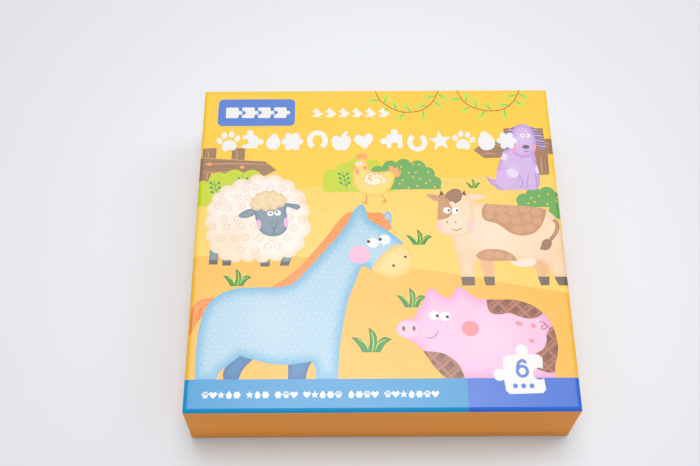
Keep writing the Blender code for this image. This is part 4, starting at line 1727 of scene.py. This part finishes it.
@dataclass(frozen=True)
class CreasedPrint:
    """The same printed paper where it is folded and goes down the walls: rubbed, with hardly any shine."""

    name: str = "creased print"
    roughness: float = 0.5
    shine: float = 0.16
    fibre: float = 0.0004
    # How high the painted contact shadow at the walls' foot reaches, in metres.
    painted_shadow_height: float = 0.014

    def material(self) -> bpy.types.Material:
        """Makes the material; its colour comes from the mesh's printed ink."""
        g = Graph(self.name)
        grain = g.noise(self.fibre, 3.0)
        cloud = g.noise(0.025, 2.0, (2.0, 2.0, 1.0))
        # Painted shadow: the colour darkens by up to 13% towards the ground, standing in for the contact
        # shadow at the walls' foot.
        foot = 0.87 + 0.13 * g.height().between(0.0, self.painted_shadow_height)
        shade = foot * (0.97 + (grain - 0.5) * 0.07 + (cloud - 0.5) * 0.06)
        g.bump(grain * 0.15 + g.noise(0.03, 1.0), 0.0001, 0.6)
        rough = self.roughness + (cloud - 0.5) * 0.1
        return g.finish(g.ink().scaled(shade), rough, IOR=1.5, Specular_IOR_Level=self.shine)


@dataclass(frozen=True)
class Paper:
    """Plain uncoated paper."""

    name: str
    hue: Hue
    roughness: float = 0.8
    fibre: float = 0.0006

    def material(self) -> bpy.types.Material:
        """Makes the material."""
        g = Graph(self.name)
        grain = g.noise(self.fibre, 4.0, (3.0, 1.0, 1.0))
        cloud = g.noise(0.02, 2.0)
        shade = 0.94 + (grain - 0.5) * 0.1 + (cloud - 0.5) * 0.06
        g.bump(grain + g.noise(0.012, 1.0) * 2.0, 0.00004, 0.6)
        return g.finish(g.colour(self.hue).scaled(shade), self.roughness + (grain - 0.5) * 0.1)


@dataclass(frozen=True)
class Greyboard:
    """Recycled board, with flecks and fibres."""

    name: str = "greyboard"
    roughness: float = 0.93

    def material(self) -> bpy.types.Material:
        """Makes the material."""
        g = Graph(self.name)
        fleck = g.noise(0.0012, 3.0, (2.5, 1.0, 1.0)).between(0.6, 0.72)
        pale = g.noise(0.0016, 3.0, (1.0, 2.2, 1.0)).between(0.62, 0.75)
        cloud = g.noise(0.015, 2.0)
        base = g.colour(Hue.GREYBOARD).tint(g.colour(Hue.GREYBOARD_FLECK), fleck * 0.6)
        base = base.tint(g.colour(Hue.LINER), pale * 0.35).scaled(0.9 + cloud * 0.2)
        g.bump(g.noise(0.0008, 4.0), 0.0001, 0.7)
        return g.finish(base, self.roughness)


@dataclass(frozen=True)
class Plywood:
    """Three-ply birch: grain on its faces, and plies on its sawn edges."""

    name: str
    low: float
    pitch: float
    back: float
    glue: float
    face: float
    roughness: float = 0.55

    def ply_mask(self, g: Graph) -> Wire:
        """1 within the middle plies of both boards of every tray."""
        above = g.height() - self.low
        within_tray = g.node("ShaderNodeMath", {"operation": "FLOORED_MODULO"}, {0: above, 1: self.pitch})
        start = self.back + self.glue
        back_core = (within_tray > self.back / 3) * (1 - (within_tray > self.back * 2 / 3))
        face_core = (within_tray > start + self.face / 3) * (1 - (within_tray > start + self.face * 2 / 3))
        return back_core + face_core

    def material(self) -> bpy.types.Material:
        """Makes the material."""
        g = Graph(self.name)
        streak = g.noise(0.0011, 3.0, (26.0, 1.0, 1.0))
        wave = g.noise(0.006, 2.0, (9.0, 1.0, 1.0))
        grain = (streak * 0.6 + wave * 0.6).between(0.42, 0.8)
        wood = g.colour(Hue.PLY).tint(g.colour(Hue.PLY_GRAIN), grain)
        upright = g.node("ShaderNodeNewGeometry", {}, {}, output="Normal")
        up = g.node("ShaderNodeSeparateXYZ", {}, {0: upright}, output="Z")
        edge = 1 - g.node("ShaderNodeMath", {"operation": "ABSOLUTE"}, {0: up}).between(0.4, 0.8)
        sawn = g.colour(Hue.PLY).tint(g.colour(Hue.PLY_CORE), self.ply_mask(g))
        sawn = sawn.tint(g.colour(Hue.PLY_BURN), g.noise(0.004, 3.0).between(0.35, 0.8) * 0.45)
        g.bump(streak, 0.00006, 0.6)
        return g.finish(wood.tint(sawn, edge), self.roughness + (streak - 0.5) * 0.2)


@dataclass(frozen=True)
class PrintedWood:
    """Ink on sanded wood, under a thin lacquer."""

    name: str
    roughness: float = 0.42

    def material(self) -> bpy.types.Material:
        """Makes the material; its colour comes from the mesh's printed ink."""
        g = Graph(self.name)
        streak = g.noise(0.0012, 3.0, (18.0, 1.0, 1.0))
        shade = 0.95 + (streak - 0.5) * 0.12
        g.bump(streak, 0.00004, 0.6)
        return g.finish(g.ink().scaled(shade), self.roughness + (streak - 0.5) * 0.12, IOR=1.5)


# ---------------------------------------------------------------- assemblies


def along_side(values: Points, half: float, radius: float, depth: float) -> Points:
    """Where coordinates on a rounded box's outline go when the outline is moved inwards.

    Args:
        values: the coordinates on one axis.
        half: the box's half-size on that axis.
        radius: its corners' radius.
        depth: how far inwards.

    Returns:
        The moved coordinates.
    """
    inner = max(radius - depth, 0.3)
    known = (0.0, half - radius, half)
    return np.sign(values) * np.interp(np.abs(values), known, (0.0, half - depth - inner, half - depth))


@dataclass
class WrappedBox:
    """What the paper of the lid and of the base have in common, in millimetres."""

    width: float
    depth: float
    low: float
    high: float
    fold: float = 2.0
    crisp: float = 0.34
    flare: tuple[float, float] = (0.0, 0.0)
    paper: float = 0.3
    wall: float = 2.7
    turn_in: float = 15.0
    rim_round: float = 0.4
    rim_steps_seen: int = 10
    ripple: float = 0.07

    def ring(self, outline: Points, depth: float, z: float, ripple: float = 0.0) -> Points:
        """The outline moved inwards by depth, at height z, as 3-D points; outer walls bow and flare."""
        x = along_side(outline[:, 0], self.width / 2, self.fold, depth)
        y = along_side(outline[:, 1], self.depth / 2, self.fold, depth)
        share = (self.high - z) / (self.high - self.low)
        spread = share**1.2 * max(0.0, 1 - depth / self.wall)
        x = x * (1 + self.flare[0] * spread * 2 / self.width)
        y = y * (1 + self.flare[1] * spread * 2 / self.depth)
        if ripple:
            swell = np.sin(x * 0.083 + z * 0.11 + 1.0) * np.sin(y * 0.071 - z * 0.07 + 2.0)
            inward = ripple * (0.5 + 0.5 * swell)
            half_x, half_y = self.width / 2 - self.fold, self.depth / 2 - self.fold
            x = x - np.sign(x) * inward * (np.abs(x) > half_x)
            y = y - np.sign(y) * inward * (np.abs(y) > half_y)
        return np.column_stack([x, y, np.full(len(x), z)])

    def rim_profile(self, rim: float, up: int) -> list[tuple[float, float]]:
        """Steps of (depth, z) round the rim, up the turn-in, and back between paper and board.

        Args:
            rim: the rim's height.
            up: 1 when the walls stand above the rim, -1 when they hang below it.

        Returns:
            The steps, from the outer wall to the hidden side of the outer wall.
        """
        r, t = self.rim_round, self.paper
        bow = [(r * (1 - math.cos(a)), r * (1 - math.sin(a))) for a in (0.0, 0.5, 1.0, math.pi / 2)]
        out = [(d, rim + up * z) for d, z in bow]
        back = [(self.wall - d, rim + up * z) for d, z in reversed(bow)]
        inside = [(self.wall, rim + up * self.turn_in), (self.wall - t, rim + up * self.turn_in)]
        hidden = [(self.wall - t, rim + up * t), (t, rim + up * t)]
        return out + back + inside + hidden


@dataclass
class Lid(WrappedBox):
    """The lid's printed wrap. Its board and liner stay as packed."""

    body: str = "lid"
    flare: tuple[float, float] = (2.3, 0.5)
    print_scale: float = 0.9884
    print_shift: tuple[float, float] = (-0.23, -0.47)
    # Share of the fold's turn beyond which the print is orange, painted brighter than the walls as a painted
    # highlight.
    orange_from: float = 0.8
    creased_from: tuple[float, float] = (0.02, 0.4)
    pitch: float = 1.5
    side_pitch: float = 2.5
    fold_steps: int = 5
    wall_steps: int = 7

    def folded(self, flat: Points) -> Points:
        """The flat print's points carried over the fold."""
        reach = np.array([self.width, self.depth]) / 2 - self.fold
        over = np.maximum(np.abs(flat) - reach, 0.0)
        power = 2 / self.crisp
        gone = (over**power).sum(1) ** (1 / power)
        turn = np.minimum(gone / self.fold, math.pi / 2)
        out = np.where(gone[:, None] > TINY, over / np.maximum(gone, TINY)[:, None], 0.0)
        plan = np.sign(flat) * (np.minimum(np.abs(flat), reach) + out * (self.fold * np.sin(turn))[:, None])
        return np.column_stack([plan, self.high - self.fold * (1 - np.cos(turn))])

    def printed(self) -> Cut:
        """The lid's picture, cut into triangles and with lines along the fold."""
        arc = self.fold * math.pi / 2
        reach = self.width / 2 - self.fold, self.depth / 2 - self.fold
        flat = panel(0, 0, 2 * (reach[0] + arc), 2 * (reach[1] + arc), arc, self.crisp)
        sheet = Sheet(dense(flat, self.side_pitch), Ink(Hue.SKY))
        for step in range(self.fold_steps):
            d = arc * step / self.fold_steps + 0.001
            line = panel(0, 0, 2 * (reach[0] + d), 2 * (reach[1] + d), d, self.crisp)
            sheet.lines.append(dense(line, self.side_pitch))
        Farmyard().draw(Pen(sheet, *self.print_shift, self.print_scale))
        return sheet.cut(self.pitch)

    def build(self, finishes: Sequence[bpy.types.Material]) -> bpy.types.Object:
        """Builds the wrap as one closed sheet of paper.

        Args:
            finishes: the print, the paper's bare back and the creased print.

        Returns:
            The wrap, riding on the lid.
        """
        cut = self.printed()
        skin = Skin()
        sheet = self.folded(cut.points)
        skin.add(sheet)
        orange, fold_painted_highlight = linear(Hue.WALL), linear(Hue.FOLD_ORANGE_PAINTED_HIGHLIGHT)
        turn = np.arccos(np.clip(1 - (self.high - sheet[cut.triangles][:, :, 2].mean(1)) / self.fold, 0, 1))
        share = turn / (math.pi / 2)
        behind = sheet[cut.triangles][:, :, 1].mean(1) > self.depth / 2 - self.fold
        creased = share > np.where(behind, self.creased_from[1], self.creased_from[0])
        # Beyond orange_from the print turns orange: its own colour, painted brighter than the walls as a
        # painted highlight along the curved edge.
        for triangle, colour, bent, dull in zip(cut.triangles, cut.colours, share, creased):
            skin.face(triangle, fold_painted_highlight if bent > self.orange_from else colour, 2 if dull else 0)
        edge = rim_of(cut.triangles)[0]
        outline = sheet[edge][:, :2]
        heights = np.linspace(self.high - self.fold, self.low + self.rim_round, self.wall_steps + 1)[1:-1]
        steps = [(0.0, z) for z in heights] + self.rim_profile(self.low, 1)
        t = self.paper
        steps += [(t, self.high - self.fold), (t + 0.4, self.high - 0.7), (self.fold, self.high - t)]
        last = edge
        for number, (depth, z) in enumerate(steps):
            ripple = self.ripple if number < len(heights) else 0.0
            start = skin.add(self.ring(outline, depth, float(z), ripple))
            here = list(range(start, start + len(outline)))
            hidden = number >= len(heights) + self.rim_steps_seen
            skin.skirt(last, here, orange, 1 if hidden else 2)
            last = here
        skin.face(last[::-1], orange, 1)
        wrap = skin.make("lid_paper", finishes)
        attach(wrap, self.body)
        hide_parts("lid_wrap")
        LOG.info("lid_paper: %d faces", len(skin.faces))
        return wrap


def dense(outline: Points, pitch: float) -> Points:
    """An outline with points added along its long sides."""
    parts = []
    for here, after in zip(outline, np.roll(outline, -1, 0)):
        steps = max(1, int(round(float(np.linalg.norm(after - here)) / pitch)))
        parts.append(here + (after - here) * (np.arange(steps) / steps)[:, None])
    return np.concatenate(parts)


@dataclass
class Base(WrappedBox):
    """The base's plain wrap, which also turns under it. Its board and liner stay as packed."""

    body: str = "base"
    turn_under: float = 12.0
    fold_steps: int = 5
    wall_steps: int = 7
    pitch: float = 4.0

    def build(self, finishes: Sequence[bpy.types.Material]) -> bpy.types.Object:
        """Builds the wrap as one closed ring of paper.

        Args:
            finishes: the print, the paper's bare back and the creased print.

        Returns:
            The wrap, riding on the base.
        """
        outline = dense(panel(0, 0, self.width, self.depth, self.fold, self.crisp), self.pitch)
        r, t = self.fold, self.paper
        turns = np.linspace(0, math.pi / 2, self.fold_steps + 1)
        fold = [(r * (1 - math.sin(a)), self.low + r * (1 - math.cos(a))) for a in turns]
        heights = np.linspace(self.low + r, self.high - self.rim_round, self.wall_steps + 1)[1:-1]
        steps = [(r + self.turn_under, self.low), *fold, *((0.0, z) for z in heights)]
        visible = len(steps) + self.rim_steps_seen
        steps += self.rim_profile(self.high, -1)
        steps += [(t, self.low + r), (r, self.low + t), (r + self.turn_under, self.low + t)]
        skin = Skin()
        rings = []
        for number, (depth, z) in enumerate(steps):
            ripple = self.ripple if len(fold) < number <= len(fold) + len(heights) else 0.0
            start = skin.add(self.ring(outline, depth, float(z), ripple))
            rings.append(list(range(start, start + len(outline))))
        orange = linear(Hue.WALL)
        for number in range(len(rings)):
            upper, lower = rings[(number + 1) % len(rings)], rings[number]
            skin.skirt(upper, lower, orange, 1 if number >= visible else 2)
        wrap = skin.make("base_paper", finishes)
        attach(wrap, self.body)
        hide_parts("base_wrap")
        LOG.info("base_paper: %d faces", len(skin.faces))
        return wrap


@dataclass
class Tray:
    """One tray puzzle: its printed frame and its six picture pieces. Its back stays as packed."""

    animal: str
    picture: Portrait
    edge_round: float = 0.4
    edge_line: float = 0.12
    face_ply: float = 0.35
    pitch: float = 1.9
    pieces: int = 6

    def build(self, finishes: Sequence[bpy.types.Material]) -> None:
        """Builds the frame and the pieces.

        Args:
            finishes: the print and the bare wood.
        """
        frame_node = f"{self.animal}_tray_frame"
        outer, window = top_outlines(frame_node)
        names = [f"{self.animal}_piece_{i + 1}" for i in range(self.pieces)]
        cuts = [outer, window, *(top_outlines(name)[0] for name in names)]
        sheet = Sheet(outer, Ink(self.picture.border))
        pen = Pen(sheet)
        self.picture.draw(pen)
        border = Sheet(outer, Ink(self.picture.border))
        self.picture.frame_border(Pen(border), window)
        flat = self.cut_sheet(sheet, cuts)
        rim = self.cut_sheet(border, cuts[:2])
        self.piece(frame_node, rim, [m == {0} for m in rim.marks], cuts[:2], finishes, f"{self.animal}_tray")
        for number, name in enumerate(names):
            chosen = [number + 2 in m for m in flat.marks]
            self.piece(name, flat, chosen, [cuts[number + 2]], finishes, name)
        LOG.info("%s puzzle: %d printed faces", self.animal, len(flat.triangles))

    def cut_sheet(self, sheet: Sheet, cuts: Sequence[Points]) -> Cut:
        """Cuts a printed sheet along the saw cuts and beside them, where the edges are rounded."""
        sheet.marks = [wound(c) for c in cuts]
        for cut in sheet.marks:
            for side in (1, -1) if cut is sheet.marks[1] else (1,):
                sheet.lines += [inset(cut, side * self.edge_line), inset(cut, side * self.edge_round)]
        return sheet.cut(self.pitch)

    def piece(
        self,
        node: str,
        cut: Cut,
        chosen: Sequence[bool],
        outlines: Sequence[Points],
        finishes: Sequence[bpy.types.Material],
        body: str,
    ) -> bpy.types.Object:
        """Builds one sawn piece of printed board.

        Args:
            node: the solid that it stands for.
            cut: the printed sheet it is part of.
            chosen: which of the sheet's triangles are on it.
            outlines: its outline, and any hole's.
            finishes: the print and the bare wood.
            body: what it rides on.

        Returns:
            The piece.
        """
        picked = np.flatnonzero(chosen)
        used, places = np.unique(cut.triangles[picked], return_inverse=True)
        triangles = places.reshape(-1, 3)
        spots = cut.points[used]
        low, high = (corner.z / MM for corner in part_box(node))
        gap = np.minimum.reduce([depth_in(spots, outline) for outline in outlines])
        r = self.edge_round
        drop = r - np.sqrt(np.maximum(r**2 - np.maximum(r - gap, 0.0) ** 2, 0.0))
        skin = Skin()
        skin.add(np.column_stack([spots, high - drop]))
        for triangle, number in zip(triangles, picked):
            skin.face(triangle, cut.colours[number])
        bare = linear(Hue.PLY)
        under: list[list[int]] = []
        for edge in rim_of(triangles):
            last = edge
            for z in (high - self.face_ply * (high - low), low):
                start = skin.add(np.column_stack([spots[edge], np.full(len(edge), z)]))
                here = list(range(start, start + len(edge)))
                skin.skirt(last, here, bare, 1)
                last = here
            under.append(last)
        points = np.concatenate(skin.points)
        loops = [[Vector(points[i][:2]) for i in loop] for loop in under]
        flat = [v for loop in loops for v in loop]
        numbers = [i for loop in under for i in loop]
        first = list(range(len(loops[0])))
        hole = list(range(len(loops[0]), len(flat)))
        faces = [first] + ([hole[::-1]] if hole else [])
        _, _, tris, originals, _, origins = delaunay_2d_cdt(flat, [], faces, 1, 1e-6, True)
        for tri, origin in zip(tris, origins):
            if 1 not in origin:
                skin.face([numbers[originals[i][0]] for i in reversed(tri)], bare, 1)
        made = skin.make(f"{node}_printed", finishes)
        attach(made, body)
        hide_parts(node)
        return made


def wound(outline: Points) -> Points:
    """The outline, anticlockwise."""
    return outline if anticlockwise(outline) else outline[::-1]


# ---------------------------------------------------------------- studio


@dataclass(frozen=True)
class Studio:
    """A pale floor, one large soft light overhead, an even surround, and the camera."""

    camera_place: tuple[float, float, float] = (-0.01547, -0.19815, 0.46039)
    forward: tuple[float, float, float] = (0.003, 0.43509, -0.90038)
    right: tuple[float, float, float] = (0.99998, -0.00564, 0.0006)
    lens: float = 48.56
    light_place: tuple[float, float, float] = (-0.02, 0.16, 1.05)
    light_aim: tuple[float, float, float] = (0.0, 0.02, 0.04)
    light_size: tuple[float, float] = (0.42, 0.42)
    light_power: float = 4.4
    fill_place: tuple[float, float, float] = (1.3, 0.7, 1.2)
    fill_size: tuple[float, float] = (1.0, 1.0)
    fill_power: float = 5.0
    surround: float = 0.7
    floor_size: float = 3.0
    floor_points: int = 13

    def camera(self) -> None:
        """Sets up the camera."""
        data = bpy.data.cameras.new("camera")
        data.lens = self.lens
        data.sensor_width = 36.0
        data.clip_start, data.clip_end = 0.01, 50.0
        view = bpy.data.objects.new("camera", data)
        bpy.context.scene.collection.objects.link(view)
        back = -Vector(self.forward).normalized()
        right = Vector(self.right)
        right = (right - back * right.dot(back)).normalized()
        up = back.cross(right)
        turn = Matrix((right, up, back)).transposed()
        view.matrix_world = Matrix.Translation(self.camera_place) @ turn.to_4x4()
        bpy.context.scene.camera = view

    def softbox(self, name: str, place: Sequence[float], size: Sequence[float], power: float) -> None:
        """Hangs one soft light that faces the box."""
        data = bpy.data.lights.new(name, "AREA")
        data.shape = "RECTANGLE"
        data.size, data.size_y = size
        data.energy = power
        lamp = bpy.data.objects.new(name, data)
        lamp.visible_camera = False
        bpy.context.scene.collection.objects.link(lamp)
        way = Vector(self.light_aim) - Vector(place)
        lamp.rotation_euler = way.to_track_quat("-Z", "Y").to_euler()
        lamp.location = place

    def lights(self) -> None:
        """Hangs the two soft lights and sets the surround."""
        self.softbox("overhead", self.light_place, self.light_size, self.light_power)
        self.softbox("side", self.fill_place, self.fill_size, self.fill_power)
        world = bpy.data.worlds.new("surround")
        world.use_nodes = True
        sky = world.node_tree.nodes["Background"]
        sky.inputs["Color"].default_value = (1.0, 0.995, 1.0, 1.0)
        sky.inputs["Strength"].default_value = self.surround
        bpy.context.scene.world = world

    def floor(self) -> None:
        """Lays the floor."""
        half = self.floor_size / 2
        n = self.floor_points
        steps = np.linspace(-half, half, n)
        points = [(x, y, 0.0) for y in steps for x in steps]
        faces = [(k, k + 1, k + n + 1, k + n) for k in range(n * (n - 1)) if (k + 1) % n]
        mesh = bpy.data.meshes.new("floor")
        mesh.from_pydata(points, [], faces)
        g = Graph("backdrop card with painted light")
        g.bump(g.noise(0.0012, 3.0), 0.00005, 0.3)
        reach = g.node("ShaderNodeVectorMath", {"operation": "LENGTH"}, {0: g.place()}, output="Value")
        # Painted light and shade: the floor is painted brighter close to the box, darker out to 0.46 m as a
        # painted vignette, and brighter again far off so it fades into the surround.
        shade = 1.06 - reach.between(0.1, 0.46) * 0.17 + reach.between(0.5, 1.3) * 0.3
        shade = shade + (g.noise(0.25, 1.0) - 0.5) * 0.02
        # Painted tint: close to the box the floor is painted cooler, cancelling the orange light that the
        # walls throw on it.
        card = g.colour(Hue.FLOOR_PAINTED_COOL_NEAR_BOX).tint(g.colour(Hue.FLOOR), reach.between(0.1, 0.21))
        mesh.materials.append(g.finish(card.scaled(shade), 0.85))
        floor = bpy.data.objects.new("floor", mesh)
        bpy.context.scene.collection.objects.link(floor)

    def build(self) -> None:
        """Sets the whole studio up."""
        self.camera()
        self.lights()
        self.floor()
        bpy.context.scene.view_settings.view_transform = "Standard"


PORTRAITS = {
    "hen": Portrait(Hen(), 3.5, Hue.BAND, Hue.WHITE, -4.0),
    "dog": Portrait(Dog(), 2.45, Hue.LIME, Hue.WHITE, -4.0),
    "pig": Portrait(Pig(), 1.6, Hue.ROYAL, Hue.WHITE, -8.0),
    "cow": Portrait(Cow(), 1.75, Hue.LEAF, Hue.WHITE, -6.0),
    "sheep": Portrait(Sheep(), 1.95, Hue.COMB, Hue.WHITE, -4.0),
    "horse": Portrait(Horse(), 1.25, Hue.DOG, Hue.WHITE, -2.0),
}


def box_mm(node: str) -> tuple[Vector, Vector]:
    """A solid's lowest and highest corners, in millimetres."""
    low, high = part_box(node)
    return low / MM, high / MM


def wrapped(kind: type[WrappedBox], node: str) -> WrappedBox:
    """A lid's or base's paper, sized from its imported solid."""
    low, high = box_mm(node)
    return kind(width=high.x - low.x, depth=high.y - low.y, low=low.z, high=high.z)


def dress(nodes: Iterable[str], finish: bpy.types.Material) -> None:
    """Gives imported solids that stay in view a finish."""
    for name in nodes:
        for material_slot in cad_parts[name].material_slots:
            material_slot.material = finish
        LOG.info("%s: %s", name, finish.name)


def main() -> None:
    """Builds every piece and the studio."""
    logging.basicConfig(level=logging.INFO, format="%(message)s")
    Studio().build()
    bare = Paper("wrap's bare back", Hue.LINER).material()
    film = LaminatedPrint().material()
    creased = CreasedPrint().material()
    wrapped(Lid, "lid_wrap").build((film, bare, creased))
    wrapped(Base, "base_wrap").build((film, bare, creased))
    dress(("lid_board", "base_board"), Greyboard().material())
    dress(("lid_liner", "base_liner"), Paper("white liner", Hue.LINER).material())
    dress(("base_bottom_sheet",), Paper("orange sheet", Hue.WALL, 0.5).material())
    back, upper = box_mm("hen_tray_back"), box_mm("dog_tray_back")
    face = box_mm("hen_tray_frame")
    wood = Plywood(
        "birch ply",
        back[0].z * MM,
        (upper[0].z - back[0].z) * MM,
        (back[1].z - back[0].z) * MM,
        (face[0].z - back[1].z) * MM,
        (face[1].z - face[0].z) * MM,
    ).material()
    dress([f"{animal}_tray_back" for animal in PORTRAITS], wood)
    for animal, picture in PORTRAITS.items():
        print_finish = PrintedWood(f"{animal} print").material()
        Tray(animal, picture).build((print_finish, wood))


if __name__ == "__main__":
    main()
